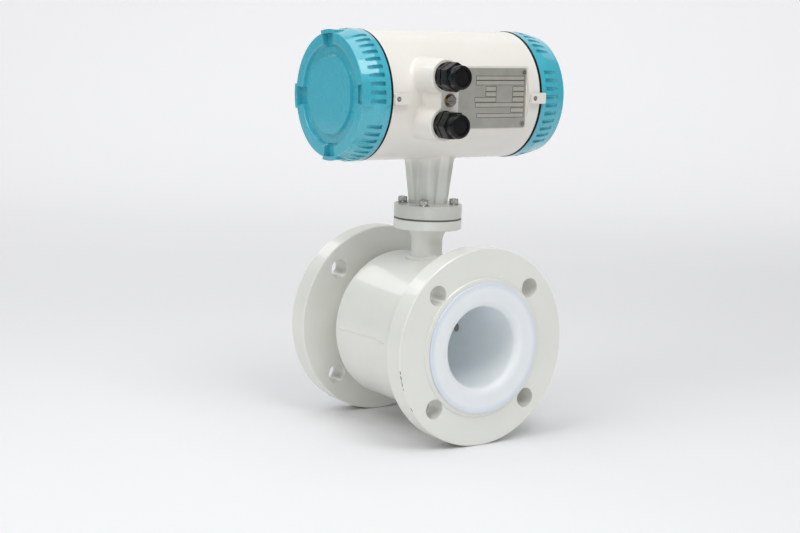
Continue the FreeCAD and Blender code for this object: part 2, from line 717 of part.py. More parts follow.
def converter_housing():
    """Cast housing: two threaded compartments, a partition, cable entries and the neck bore."""
    solid = housing_outside()
    blind_floor = -S.partition_y - S.partition_thick
    cuts = [
        cylinder("blind_cavity", cavity, blind_floor + S.blind_y + 1, (0, -S.blind_y - 1, S.axis_z), "Y"),
        cylinder("window_cavity", cavity, S.partition_y + S.window_y + 1,
                 (0, -S.partition_y, S.axis_z), "Y"),
        cylinder("blind_thread", thread_radius, S.thread_deep + 1, (0, -S.blind_y - 1, S.axis_z), "Y"),
        cylinder("window_thread", thread_radius, S.thread_deep + 1,
                 (0, S.window_y - S.thread_deep, S.axis_z), "Y"),
        cylinder("neck_way", S.neck_bore / 2, S.axis_z - gasket_top, (0, 0, gasket_top)),
        cylinder("partition_way", S.wire_way / 2, S.partition_y * 2,
                 (0, -S.partition_y * 2, S.axis_z - S.wire_drop), "Y"),
        cylinder("ground_thread", S.ground_od / 2 + S.fit, S.ground_long,
                 (entry_x - S.ground_long, bridge_y, S.axis_z), "X"),
    ]
    for side, rise in entries.items():
        cuts.append(cylinder(side + "_entry", entry_hole, entry_x,
                             (S.entry_reach / 2, -S.entry_y, S.axis_z + rise), "X"))
    for side, y in lock_places().items():
        cuts.append(cylinder(side + "_lock_thread", lock_screw_hole, S.lock_screw_long,
                             (lock_seat - S.lock_screw_long, y, S.axis_z), "X"))
    cuts += neck_holes("case_hole", S.screw_od / 2 + S.screw_gap, gasket_top - 1,
                       S.head_flange_thick + 2)
    cuts += plate_holes("plate_thread", S.rivet_od / 2 + S.fit, plate_seat - S.rivet_long * 1.2,
                        S.rivet_long * 1.2)
    return node(cut("housing_bored", solid, cuts), "converter_housing")


# ---------------------------------------------------------------- covers
shoulder_plane = {"blind": -S.blind_y - S.ring_gap, "window": S.window_y + S.ring_gap}
cover_edge = case_radius + S.cover_proud
lip = cover_edge - S.lip_inset
lip_inner = lip - S.lip_wide
spigot_radius = thread_radius - S.run_gap
spigot_inner = spigot_radius - S.spigot_wall
opening = lip - S.window_rim


def grip_groove(body, label):
    """One round-bottomed groove in the grip, the first of its group."""
    drawing = new_sketch(body, label + "_slot", "XY_Plane")
    first = S.groove_step * 1.5 - S.gap_turn
    drawing.AttachmentOffset = FreeCAD.Placement(
        Vector(0, 0, S.groove_start.value), Rotation(Vector(0, 0, 1), first.value))
    bind(drawing, "AttachmentOffset.Base.z", S.groove_start)
    bind(drawing, "AttachmentOffset.Rotation.Angle", first)
    radius = S.groove_wide / 2
    middle = cover_edge + radius - S.groove_deep
    outer = cover_edge + 1
    m, r, o = middle.value, radius.value, outer.value
    bottom = Part.Circle(Vector(m, 0, 0), Vector(0, 0, 1), r)
    drawing.addGeometry(Part.ArcOfCircle(bottom, math.pi / 2, math.pi * 1.5))
    for start, end in (((m, -r), (o, -r)), ((o, -r), (o, r)), ((o, r), (m, r))):
        drawing.addGeometry(Part.LineSegment(Vector(start[0], start[1], 0), Vector(end[0], end[1], 0)))
    Constraint = Sketcher.Constraint
    for first_line, end, second_line, start in ((0, 2, 1, 1), (1, 2, 2, 1), (2, 2, 3, 1), (3, 2, 0, 1)):
        drawing.addConstraint(Constraint("Coincident", first_line, end, second_line, start))
    drawing.addConstraint(Constraint("PointOnObject", 0, 3, -1))
    drawing.addConstraint(Constraint("Horizontal", 1))
    drawing.addConstraint(Constraint("Vertical", 2))
    drawing.addConstraint(Constraint("Horizontal", 3))
    drawing.addConstraint(Constraint("Vertical", 0, 1, 0, 3))
    drawing.addConstraint(Constraint("Vertical", 0, 2, 0, 3))
    for constraint, number in ((Constraint("DistanceX", -1, 1, 0, 3, m), middle),
                               (Constraint("DistanceX", -1, 1, 1, 2, o), outer),
                               (Constraint("Radius", 0, r), radius)):
        where = drawing.addConstraint(constraint)
        drawing.setExpression("Constraints[%d]" % where, number.text)
    groove = body.newObject("PartDesign::Pocket", label + "_groove")
    groove.Profile = drawing
    groove.Reversed = True
    bind(groove, "Length", S.groove_long)
    doc.recompute()
    return groove


def cover_body(label, side, high, centre, axis, spin):
    """Screw cover: spigot, straight band, tapered grip and a flat lip round its dish."""
    floor = high - S.dish
    body = new_body(label, (0, shoulder_plane[side], S.axis_z), axis, spin)
    revolve(body, label + "_turned", [
        (spigot_inner, -S.spigot), (spigot_radius, -S.spigot), (spigot_radius, 0),
        (cover_edge, 0), (cover_edge, S.band), (lip, high), (lip_inner, high),
        (lip_inner - S.dish_slope, floor)] + centre)
    soften(body, label + "_lip", S.lip_round, ring_at((lip, high), (lip_inner, high)))
    return body


def grip(body, label):
    """Four groups of grooves round the cover, with a gap between the groups."""
    groove = grip_groove(body, label)
    first = S.groove_step * (S.groove_group - 1)
    repeat(body, label + "_grooves", groove, [(S.groove_group, first), (4, 360)])


def wrench_lugs(body, label, high):
    """Four lugs that fill the taper, each with a pocket for a wrench in the lip."""
    outer = cover_edge - S.lug_inset
    turn = 360 / round(math.pi * 2, 9)
    lug = revolve(body, label + "_lug", [
        (lip_inner, high - S.dish), (outer, high - S.lug_long), (outer, high), (lip_inner, high)],
        angle=S.lug_wide / outer * turn)
    repeat(body, label + "_lugs", lug, [(4, 360)])
    pocket = revolve(body, label + "_pocket", [
        (lip - S.pocket_reach - S.pocket_wall, high - S.pocket_deep),
        (lip - S.pocket_wall, high - S.pocket_deep), (lip - S.pocket_wall, high + 1),
        (lip - S.pocket_reach - S.pocket_wall, high + 1)],
        "PartDesign::Groove", S.pocket_wide / (lip - S.pocket_wall) * turn)
    repeat(body, label + "_pockets", pocket, [(4, 360)])


def blind_cover():
    """Blind cover: a raised disc in the dish, hollow under it."""
    high = S.blind_high
    floor = high - S.dish
    disc = S.disc_od / 2
    under = floor - S.cover_wall
    body = cover_body("blind_cover", "blind", high, [
        (disc + S.dish_slope, floor), (disc, floor + S.disc_high), (0, floor + S.disc_high),
        (0, under), (spigot_inner, under)], "-Y", S.blind_turn)
    wrench_lugs(body, "blind_cover", high)
    grip(body, "blind_cover")
    return node(body, "blind_cover")


glass_radius = opening + S.glass_lap
glass_seat = glass_radius + S.run_gap
gasket_face = S.window_high - S.dish - S.glass_ledge
glass_face = gasket_face - S.glass_gasket
glass_back = glass_face - S.glass_thick


def window_cover():
    """Window cover: open in the middle, with a ledge that holds the glass."""
    floor = S.window_high - S.dish
    body = cover_body("window_cover", "window", S.window_high, [
        (opening, floor), (opening, gasket_face), (glass_seat, gasket_face), (glass_seat, -1),
        (spigot_inner, -1)], "Y", S.window_turn)
    grip(body, "window_cover")
    return node(body, "window_cover")


def window_ring(label, inner, outer, low, high):
    """A turned ring or disc inside the window cover, heights from the cover's shoulder."""
    points = [(inner, low), (outer, low), (outer, high), (inner, high)]
    return node(turned_part(label, points, (0, shoulder_plane["window"], S.axis_z), "Y"), label)


def window_pieces():
    window_ring("window_glass", 0, glass_radius, glass_back, glass_face)
    window_ring("window_gasket", opening + 1, glass_radius, glass_face, gasket_face)
    window_ring("glass_retainer", opening + 1, glass_seat - S.fit,
                glass_back - S.retainer_thick, glass_back)


def cover_oring(label, side, axis):
    """Ring squeezed between the cover's shoulder and the housing's end."""
    outer = cover_edge - S.ring_inset
    inner = thread_radius + S.run_gap
    body = turned_part(label, [(inner, -S.ring_gap), (outer, -S.ring_gap), (outer, 0), (inner, 0)],
                       (0, shoulder_plane[side], S.axis_z), axis)
    soften(body, label + "_round", S.ring_gap * 0.45, ring_at((outer, 0), (outer, -S.ring_gap)))
    return node(body, label)


# ---------------------------------------------------------------- cable glands
gland_corner = S.gland_af * 0.565


def gland_place(side):
    return (entry_x, -S.entry_y, S.axis_z + entries[side])


def gland_body(side, spin):
    at = gland_place(side)
    name = side + "_gland"
    foot = along(at, "X", S.seal_ring)
    shank = cylinder(name + "_shank", S.thread_m20 / 2 - S.fit, S.gland_shank + S.seal_ring,
                     along(at, "X", -S.gland_shank), "X")
    hexagon = prism(name + "_hex", S.gland_af, S.gland_hex, foot, "X", spin)
    trim = cylinder(name + "_trim", gland_corner, S.gland_hex, foot, "X")
    stem = cylinder(name + "_stem", S.gland_stem / 2, S.gland_hex + S.nut_gap + S.nut_hex,
                    foot, "X")
    way = cylinder(name + "_way", S.gland_bore / 2, S.nut_long * 3, along(at, "X", -S.nut_long), "X")
    solid = fuse(name + "_blank", [shank, common(name + "_faced", [hexagon, trim]), stem])
    return node(cut(name + "_drilled", solid, [way]), name + "_body")


nut_foot = S.seal_ring + S.gland_hex + S.nut_gap


def gland_nut(side, spin):
    """Domed clamping nut: hexagon base, rounded dome and an open mouth."""
    at = along(gland_place(side), "X", nut_foot)
    name = side + "_gland_nut"
    body = new_body(name + "_turned", at, "X", spin)
    dome = S.dome_od / 2
    bore = S.gland_stem / 2 + S.run_gap
    mouth = S.mouth_od / 2
    revolve(body, name + "_profile", [
        (bore, 0), (gland_corner, 0), (gland_corner, S.nut_hex - S.hex_trim), (dome, S.nut_hex),
        (dome, S.nut_long), (mouth, S.nut_long), (mouth, S.nut_long - S.mouth_deep),
        (bore, S.nut_hex + S.mouth_deep)])
    soften(body, name + "_dome", S.dome_round * 0.45, ring_at((dome, S.nut_long)))
    hexagon = prism(name + "_hexagon", S.gland_af, S.nut_long, at, "X", spin)
    return node(common(name + "_faced", [body, hexagon]), name)


def gland_plug(side):
    """Blanking disc held behind the nut's mouth."""
    at = along(gland_place(side), "X", nut_foot + S.nut_long)
    mouth = S.mouth_od / 2 - S.run_gap
    face = -S.plug_sunk
    back = face - S.plug_thick
    foot = back - S.plug_flange
    body = turned_part(side + "_gland_plug", [
        (0, foot), (mouth + S.plug_lip, foot), (mouth + S.plug_lip, back), (mouth, back),
        (mouth, face), (0, face)], at, "X")
    return node(body, side + "_gland_plug")


def gland_seal(side):
    """Rubber sleeve inside the gland's stem."""
    at = along(gland_place(side), "X", S.seal_ring)
    outer = S.gland_bore / 2 - S.fit
    length = S.gland_hex + S.nut_gap + S.nut_hex
    body = turned_part(side + "_gland_seal", [
        (outer * 0.6, 0), (outer, 0), (outer, length), (outer * 0.6, length)], at, "X")
    return node(body, side + "_gland_seal")


def gland_washers():
    rings = []
    for side in entries:
        at = gland_place(side)
        disc = cylinder(side + "_ring_disc", S.gland_af * 0.53, S.seal_ring, at, "X")
        way = cylinder(side + "_ring_way", entry_hole, S.seal_ring * 3, along(at, "X", -S.seal_ring), "X")
        rings.append(cut(side + "_ring", disc, [way]))
    return node(fuse("gland_washer_set", rings), "gland_washers")


# ---------------------------------------------------------------- plates and small hardware
def ground_terminal():
    """Earth screw with its brass washer on the bridge between the glands."""
    seat = (entry_x, bridge_y, S.axis_z)
    disc = cylinder("ground_disc", S.ground_washer_od / 2, S.washer_thick, seat, "X")
    way = cylinder("ground_way", S.ground_od / 2 + S.screw_gap, S.washer_thick * 3,
                   along(seat, "X", -S.washer_thick), "X")
    node(cut("ground_ring", disc, [way]), "ground_washer")
    top = along(seat, "X", S.washer_thick)
    head = cylinder("ground_head", S.ground_head_od / 2, S.ground_head, top, "X")
    shank_long = S.ground_long - 1
    shank = cylinder("ground_shank", S.ground_od / 2, shank_long, along(top, "X", -shank_long), "X")
    slot_seat = along(top, "X", S.ground_head * 0.55)
    slot = box("ground_slot", S.ground_head * 2, S.ground_head_od * 1.2, S.ground_slot,
               (slot_seat[0] + S.ground_head, slot_seat[1], slot_seat[2] - S.ground_slot / 2))
    node(cut("ground_slotted", fuse("ground_blank", [head, shank]), [slot]), "ground_screw")


def nameplate():
    """Bare metal plate with rounded corners and four holes."""
    body = new_body("plate", (plate_seat, S.plate_mid_y, S.axis_z), "X")
    across = S.plate_wide / 2
    rise = S.plate_high / 2
    pad = body.newObject("PartDesign::Pad", "plate_pad_up")
    pad.Profile = outline(body, "plate_outline", [
        (-rise, -across), (rise, -across), (rise, across), (-rise, across)], "XY_Plane")
    bind(pad, "Length", S.plate_thick)
    doc.recompute()
    soften(body, "plate_corners", S.plate_round, straight_along_z)
    holes = plate_holes("plate_hole", S.rivet_od / 2 + S.fit, plate_seat - 1, S.plate_thick + 2)
    return node(cut("plate_drilled", body, holes), "nameplate")


def nameplate_screws():
    """Four drive screws with low round heads."""
    top = plate_seat + S.plate_thick
    foot = plate_seat - S.rivet_long
    pins = plate_holes("pin", S.rivet_od / 2, foot, top - foot)
    heads = plate_holes("pin_head", S.rivet_head_od / 2, top, S.rivet_head)
    return node(fuse("nameplate_screw_set", pins + heads), "nameplate_screws")


def lock_plate(side):
    """Swinging plate that holds a cover: at rest the window's is over its rim."""
    y = lock_places()[side]
    body = new_body(side + "_lock_body", (lock_seat, y, S.axis_z), "X")
    half = S.lock_wide / 2
    pad = body.newObject("PartDesign::Pad", side + "_lock_pad")
    pad.Profile = outline(body, side + "_lock_outline", [
        (-half, -S.lock_heel), (half, -S.lock_heel), (half, S.lock_reach), (-half, S.lock_reach)],
        "XY_Plane")
    bind(pad, "Length", S.lock_thick)
    doc.recompute()
    soften(body, side + "_lock_corners", S.lock_round, straight_along_z)
    way = cylinder(side + "_lock_way", S.lock_screw_od / 2 + S.screw_gap, S.lock_thick * 3,
                   (lock_seat - 1, y, S.axis_z), "X")
    sink = cylinder(side + "_lock_sink", S.lock_head_od / 2 + S.screw_gap, S.lock_thick,
                    (lock_seat + S.lock_thick - S.lock_head, y, S.axis_z), "X")
    return node(cut(side + "_lock_drilled", body, [way, sink]), side + "_lock_plate")


def lock_screw(side):
    seat = (lock_seat + S.lock_thick - S.lock_head, lock_places()[side], S.axis_z)
    head = cylinder(side + "_lock_head", S.lock_head_od / 2, S.lock_head, seat, "X")
    shank = cylinder(side + "_lock_shank", S.lock_screw_od / 2, S.lock_screw_long,
                     along(seat, "X", -S.lock_screw_long), "X")
    key = prism(side + "_lock_key", S.lock_socket, S.lock_head, along(seat, "X", S.lock_head / 3), "X")
    return node(cut(side + "_lock_socket", fuse(side + "_lock_blank", [head, shank]), [key]),
                side + "_lock_screw")


# ---------------------------------------------------------------- electronics and terminals
board_radius = cavity - S.board_inset


def board(label, y):
    """Round circuit board on its spacers."""
    disc = cylinder(label + "_disc", board_radius, S.board_thick, (0, y, S.axis_z), "Y")
    holes = [cylinder("%s_hole_%d" % (label, angle), S.spacer_hole / 2, S.board_thick * 3,
                      spacer_spot(angle, y - S.board_thick), "Y") for angle in neck_angles]
    return node(cut(label + "_drilled", disc, holes), label)


def spacer_spot(angle, y):
    across, rise = polar(board_radius - S.spacer_inset, angle)
    return (across, y, S.axis_z + rise)


def board_spacers():
    """Hexagonal spacers between the partition and the boards."""
    levels = [(-S.partition_y, S.main_y), (S.main_y + S.board_thick, S.power_y),
              (S.power_y + S.board_thick, S.display_y), (S.display_y + S.board_thick, S.bezel_y)]
    bars = []
    for i, (low, high) in enumerate(levels):
        for angle in neck_angles:
            bars.append(prism("spacer_%d_%d" % (i, angle), S.spacer_od, size(high) - low,
                              spacer_spot(angle, low), "Y"))
    return node(fuse("board_spacer_set", bars), "board_spacers")


lcd_z = S.axis_z + S.lcd_rise
key_z = S.axis_z - S.key_drop
key_names = ["menu_key", "left_key", "up_key", "enter_key"]


def key_x(i):
    return S.key_pitch * (1.5 - i)


def display_bezel():
    """Front panel behind the glass, with a window for the screen and holes for four keys."""
    panel = cylinder("bezel_disc", board_radius - S.bezel_inset, S.bezel_thick,
                     (0, S.bezel_y, S.axis_z), "Y")
    window = box("bezel_window", S.lcd_wide + 0.4, S.bezel_thick * 3, S.lcd_high + 0.4,
                 (0, S.bezel_y, lcd_z - S.lcd_high / 2 - 0.2))
    holes = [cylinder("bezel_hole_%d" % i, S.key_od / 2 + S.run_gap, S.bezel_thick + 2,
                      (key_x(i), S.bezel_y - 1, key_z), "Y") for i in range(4)]
    return node(cut("bezel_cut", panel, [window] + holes), "display_bezel")


def lcd_panel():
    thick = S.bezel_thick - S.lcd_sunk
    body = box("lcd_glass", S.lcd_wide, thick, S.lcd_high,
               (0, S.bezel_y + thick / 2, lcd_z - S.lcd_high / 2))
    return node(body, "lcd_panel")


def key(i):
    foot = S.display_y + S.board_thick + S.key_rim
    length = S.bezel_y + S.bezel_thick + S.key_high - foot
    stem = cylinder("key_stem_%d" % i, S.key_od / 2, length, (key_x(i), foot, key_z), "Y")
    rim = cylinder("key_rim_%d" % i, S.key_od / 2 + S.key_rim, S.key_rim_thick,
                   (key_x(i), S.bezel_y - S.key_rim_thick - S.run_gap, key_z), "Y")
    return node(fuse("key_%d" % i, [stem, rim]), key_names[i])


def terminal_block():
    """Row of screw terminals on the partition's back."""
    face = -S.partition_y - S.partition_thick - S.block_deep
    block = box("block_bar", S.block_wide, S.block_deep, S.block_high,
                (0, face + S.block_deep / 2, S.axis_z - S.block_high / 2))
    pitch = S.block_wide / S.ways
    cuts = []
    for i in range(SIZES["ways"]):
        x = pitch * (i + 0.5) - S.block_wide / 2
        cuts.append(cylinder("way_screw_%d" % i, S.way_screw_od / 2 + S.fit,
                             S.way_sunk * 2 + S.way_screw_long,
                             (x, face - S.way_sunk, S.axis_z + S.block_high / 5), "Y"))
        cuts.append(box("way_mouth_%d" % i, pitch * 0.6, S.block_deep, S.block_high / 4,
                        (x, face + S.block_deep / 6, S.axis_z - S.block_high * 0.6)))
    return node(cut("block_cut", block, cuts), "terminal_block")


def terminal_screws():
    face = -S.partition_y - S.partition_thick - S.block_deep
    pitch = S.block_wide / S.ways
    heads = [cylinder("way_head_%d" % i, S.way_screw_od / 2, S.way_screw_long,
                      (pitch * (i + 0.5) - S.block_wide / 2, face + S.way_sunk,
                       S.axis_z + S.block_high / 5), "Y") for i in range(SIZES["ways"])]
    return node(fuse("terminal_screw_set", heads), "terminal_screws")


# ---------------------------------------------------------------- the whole meter
def build():
    measuring_tube()
    flange("inlet_flange", "-X")
    flange("outlet_flange", "X")
    ptfe_liner()
    electrode("left_electrode", "-Y")
    electrode("right_electrode", "Y")
    electrode_bushes()
    electrode_nuts()
    coil_casing()
    for label, side in (("upper", 1), ("lower", -1)):
        saddle_coil(label + "_coil", side)
        pole_shoe(label + "_pole_shoe", side)
    coil_yoke()
    neck_stub()
    neck_gasket()
    neck_screws()
    neck_washers()
    converter_housing()
    blind_cover()
    cover_oring("blind_cover_oring", "blind", "-Y")
    window_cover()
    window_pieces()
    cover_oring("window_cover_oring", "window", "Y")
    gland_washers()
    for side, spin in (("upper", 0), ("lower", 30)):
        gland_body(side, spin)
        gland_nut(side, spin)
        gland_plug(side)
        gland_seal(side)
    ground_terminal()
    nameplate()
    nameplate_screws()
    for side in ("blind", "window"):
        lock_plate(side)
        lock_screw(side)
    board("main_board", S.main_y)
    board("power_board", S.power_y)
    board("display_board", S.display_y)
    board_spacers()
    display_bezel()
    lcd_panel()
    for i in range(4):
        key(i)
    terminal_block()
    terminal_screws()


def check_document():
    """Stops on any failed object or unsound shape."""
    for thing in doc.Objects:
        if "Invalid" in thing.State or "Error" in thing.State:
            raise RuntimeError("%s did not recompute: %s" % (thing.Name, thing.State))
    for thing in nodes:
        shape = thing.Shape
        if shape.isNull() or not shape.isValid() or not shape.Solids:
            raise RuntimeError("%s has no sound solid" % thing.Label)


build()
doc.recompute()
check_document()
os.makedirs("parts", exist_ok=True)
for piece in nodes:
    piece.Shape.exportStep("parts/%s.step" % piece.Label)
print(len(nodes), "pieces")
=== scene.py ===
# %% [markdown]
# # An electromagnetic flow meter, dressed for its portrait
# A flow meter of this kind is a short pipe with a flange at each end, a drum of coils round it,
# and a cast converter head on a neck. The construction model gives every solid part its shape
# and place, so this lesson only adds what a solid model leaves out: paint, plastic, metal grain,
# weld beads, squeezed rings, the ruled plate, the figures on the display, the ribs on the screw
# heads and a few paint chips. The model is loaded first, because the places of the added pieces
# and most of their sizes are read from it.

# %% Load the construction model
import math

import bpy
import numpy as np
from mathutils import Matrix, Vector


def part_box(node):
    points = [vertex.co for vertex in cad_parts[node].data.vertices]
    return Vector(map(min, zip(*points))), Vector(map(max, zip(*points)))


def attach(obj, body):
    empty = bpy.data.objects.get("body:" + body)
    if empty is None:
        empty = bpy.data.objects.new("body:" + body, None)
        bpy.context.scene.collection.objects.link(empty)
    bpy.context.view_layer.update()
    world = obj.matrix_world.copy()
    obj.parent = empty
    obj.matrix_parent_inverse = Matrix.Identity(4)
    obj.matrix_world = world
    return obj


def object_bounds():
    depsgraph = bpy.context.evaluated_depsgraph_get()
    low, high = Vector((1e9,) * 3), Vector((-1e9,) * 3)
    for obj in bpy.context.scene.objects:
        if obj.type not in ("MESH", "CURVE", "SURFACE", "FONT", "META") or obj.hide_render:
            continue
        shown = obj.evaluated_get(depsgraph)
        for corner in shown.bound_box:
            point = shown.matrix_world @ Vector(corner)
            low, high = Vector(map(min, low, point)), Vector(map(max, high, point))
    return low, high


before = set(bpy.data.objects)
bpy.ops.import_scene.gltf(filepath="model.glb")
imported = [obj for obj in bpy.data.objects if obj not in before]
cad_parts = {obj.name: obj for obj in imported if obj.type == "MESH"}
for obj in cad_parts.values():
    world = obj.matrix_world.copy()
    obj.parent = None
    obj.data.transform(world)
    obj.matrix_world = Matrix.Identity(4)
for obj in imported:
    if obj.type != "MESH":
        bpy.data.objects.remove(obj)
cad_low, cad_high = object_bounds()
print("parts:", len(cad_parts), "size in mm:", [round(v * 1000, 1) for v in cad_high - cad_low])

# %% [markdown]
# ## The camera
# The meter is seen a little from above and from its outlet side, so that one flange, the blind
# cover and the cable glands all show. A longish lens keeps the two round flanges from looking
# like cones. The camera is placed by its position, the way it faces and a slight roll, and those
# become the three columns of its matrix, which is easier to check than three chained rotations.

# %% Camera
camera_data = bpy.data.cameras.new("camera")
camera_data.sensor_width = 36
camera_data.lens = 74.94
camera = bpy.data.objects.new("camera", camera_data)
bpy.context.scene.collection.objects.link(camera)
bpy.context.scene.camera = camera

turn, lift, roll = (math.radians(v) for v in (-34.658, 8.864, 1.776))
facing = -Vector((math.cos(lift) * math.cos(turn), math.cos(lift) * math.sin(turn), math.sin(lift)))
right = facing.cross(Vector((0, 0, 1))).normalized()
above = right.cross(facing)
side_axis = math.cos(roll) * right + math.sin(roll) * above
up_axis = -math.sin(roll) * right + math.cos(roll) * above
camera.matrix_world = Matrix.Translation((1.324316, -0.946766, 0.317050)) @ Matrix(
    (side_axis, up_axis, -facing)).transposed().to_4x4()
print("camera to bore:", round(camera.matrix_world.translation.length, 2), "m")

# %% [markdown]
# ## Floor and light
# A product of this kind is shown on a white sweep: a floor that curves up into a wall, so that
# no horizon line cuts behind it. The sweep is one strip: its profile is a straight run, a
# quarter circle and another straight run, carried sideways. It is not part of the meter. For
# the camera, and for what the metal mirrors and the glass lets through, it glows a little: not
# at all near the meter, and most far behind it, where the light of the lamps has thinned out.
# For all other rays it is plain white paint that catches the soft shadow.
#
# Five lamps light the meter. Three large soft ones hang above it, a long narrow one behind it
# draws a bright line along its edges, and a small weak one looks into the bore. The world is a
# pale grey. It is dimmer in reflections, so that metal has something dark to mirror, and
# brighter where the camera looks past the sweep.

# %% Helpers for meshes
def put_mesh(name, points, faces, material=None, smooth=True, body=None):
    """A new object from an (n, 3) array of points and a list or array of faces."""
    mesh = bpy.data.meshes.new(name)
    mesh.from_pydata(points.tolist(), [], [list(map(int, face)) for face in faces])
    mesh.polygons.foreach_set("use_smooth", [smooth] * len(mesh.polygons))
    mesh.update()
    piece = bpy.data.objects.new(name, mesh)
    bpy.context.scene.collection.objects.link(piece)
    if material:
        mesh.materials.append(material)
    if body:
        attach(piece, body)
    return piece


def grid_faces(rows, columns, close_rows=False, close_columns=False):
    """The four-sided faces of a grid of points, row after row; a closed direction joins its ends."""
    i, j = np.meshgrid(np.arange(rows - (not close_rows)), np.arange(columns - (not close_columns)),
                       indexing="ij")
    i, j = i.ravel(), j.ravel()
    i2, j2 = (i + 1) % rows, (j + 1) % columns
    return np.stack([i * columns + j, i2 * columns + j, i2 * columns + j2, i * columns + j2], axis=1)


# %% Helpers for materials
def linear(red, green, blue):
    """A screen colour of 0 to 255 a channel as the linear values that a shader needs."""
    share = np.array([red, green, blue]) / 255
    value = np.where(share <= 0.04045, share / 12.92, ((share + 0.055) / 1.055) ** 2.4)
    return (*value.tolist(), 1.0)


def add(tree, kind, inputs=None, **settings):
    """A new node, its settings, and its sockets set to a value or joined to another's output."""
    node = tree.nodes.new("ShaderNode" + kind)
    for word, value in settings.items():
        setattr(node, word, value)
    for word, value in (inputs or {}).items():
        if isinstance(value, bpy.types.NodeSocket):
            tree.links.new(value, node.inputs[word])
        else:
            node.inputs[word].default_value = value
    return node


def mix_colour(tree, share, first, second):
    """The output of a node that goes from the first colour to the second as share goes 0 to 1."""
    return add(tree, "Mix", {0: share, 6: first, 7: second}, data_type="RGBA").outputs[2]


def new_group(name, inputs, outputs):
    """An empty shader node group with named sockets, and its inner input and output nodes."""
    group = bpy.data.node_groups.new(name, "ShaderNodeTree")
    kinds = {"f": "NodeSocketFloat", "c": "NodeSocketColor", "v": "NodeSocketVector"}
    for word, kind in inputs.items():
        group.interface.new_socket(word, in_out="INPUT", socket_type=kinds[kind])
    for word, kind in outputs.items():
        group.interface.new_socket(word, in_out="OUTPUT", socket_type=kinds[kind])
    return group, group.nodes.new("NodeGroupInput").outputs, group.nodes.new("NodeGroupOutput").inputs


def place(tree, group, inputs):
    """A node group put into a material with its own values."""
    node = tree.nodes.new("ShaderNodeGroup")
    node.node_tree = group
    for word, value in inputs.items():
        if isinstance(value, bpy.types.NodeSocket):
            tree.links.new(value, node.inputs[word])
        else:
            node.inputs[word].default_value = value
    return node.outputs


def new_material(name):
    """A material with a Principled shader: its tree, the shader, and the piece's own coordinates."""
    material = bpy.data.materials.new(name)
    material.use_nodes = True
    tree = material.node_tree
    shader = tree.nodes["Principled BSDF"]
    return material, tree, shader, add(tree, "TexCoord").outputs["Object"]


def bump(tree, shader, height, distance, edge=0.0003):
    """Joins a height to the shader's normal; distance is its full reach, edge rounds the corners."""
    rounded = add(tree, "Bevel", {"Radius": edge}, samples=4)
    node = add(tree, "Bump", {"Height": height, "Distance": distance, "Normal": rounded.outputs[0]})
    tree.links.new(node.outputs["Normal"], shader.inputs["Normal"])


# %% Floor and backdrop
floor_z = cad_low.z
front_run, back_run, lift_radius, wall_high, half_width = 3.0, 1.6, 1.2, 4.0, 4.0
bend = np.linspace(0, math.pi / 2, 24)
profile = np.concatenate([
    [[front_run, 0.0]],
    np.stack([-back_run - lift_radius * np.sin(bend), lift_radius * (1 - np.cos(bend))], axis=1),
    [[-back_run - lift_radius, wall_high]],
])
away = Vector((facing.x, facing.y, 0)).normalized()
across = Vector((-away.y, away.x, 0))
width = np.array([-half_width, half_width])
sweep_points = (-profile[:, None, 0, None] * np.array(away) + width[None, :, None] * np.array(across)
                + (profile[:, None, 1, None] + floor_z) * np.array([0, 0, 1]))
sweep_material, tree, shader, where = new_material("sweep_paper")
shader.inputs["Base Color"].default_value = (0.86, 0.86, 0.865, 1)
shader.inputs["Roughness"].default_value = 0.7
rays = add(tree, "LightPath").outputs
mirrored = add(tree, "Math", {0: rays["Is Glossy Ray"], 1: rays["Is Transmission Ray"]},
               operation="MAXIMUM")
looked_at = add(tree, "Math", {0: rays["Is Camera Ray"], 1: mirrored.outputs[0]}, operation="MAXIMUM")
behind = add(tree, "VectorMath", {0: where, 1: tuple(away)}, operation="DOT_PRODUCT")
far_off = add(tree, "MapRange", {"Value": behind.outputs["Value"], "From Min": 0.3, "From Max": 2.4,
                                 "To Min": 0.0, "To Max": 0.34}, interpolation_type="SMOOTHSTEP")
glow = add(tree, "Math", {0: looked_at.outputs[0], 1: far_off.outputs["Result"]},
           operation="MULTIPLY")
tree.links.new(glow.outputs[0], shader.inputs["Emission Strength"])
shader.inputs["Emission Color"].default_value = (1, 1, 1, 1)
sweep = put_mesh("sweep", sweep_points.reshape(-1, 3), grid_faces(len(profile), 2), sweep_material)
print("sweep:", len(sweep.data.polygons), "strips, floor at", round(floor_z * 1000, 1), "mm")


# %% Lights
def softbox(name, place_at, look_at, wide, high, power, spread=180):
    """An area light that faces a point and that the camera itself doesn't see."""
    data = bpy.data.lights.new(name, "AREA")
    data.shape, data.size, data.size_y, data.energy = "RECTANGLE", wide, high, power
    data.spread = math.radians(spread)
    lamp = bpy.data.objects.new(name, data)
    lamp.visible_camera = False
    lamp.location = place_at
    lamp.rotation_euler = (Vector(look_at) - Vector(place_at)).to_track_quat("-Z", "Y").to_euler()
    bpy.context.scene.collection.objects.link(lamp)
    return lamp


middle = (cad_low + cad_high) / 2
softbox("top_light", (0.0, -0.2, 1.8), middle, 1.4, 1.4, 10)
softbox("left_light", (0.3, -1.4, 1.5), middle, 0.9, 0.9, 8.8)
softbox("right_light", (1.2, -0.1, 1.75), middle, 0.9, 0.9, 12)
softbox("rim_light", (-1.6, -0.45, 1.15), middle, 1.2, 0.22, 2.5)
softbox("bore_light", (1.3, -0.85, 0.08), (0, 0, 0), 0.5, 0.5, 0.14, spread=40)

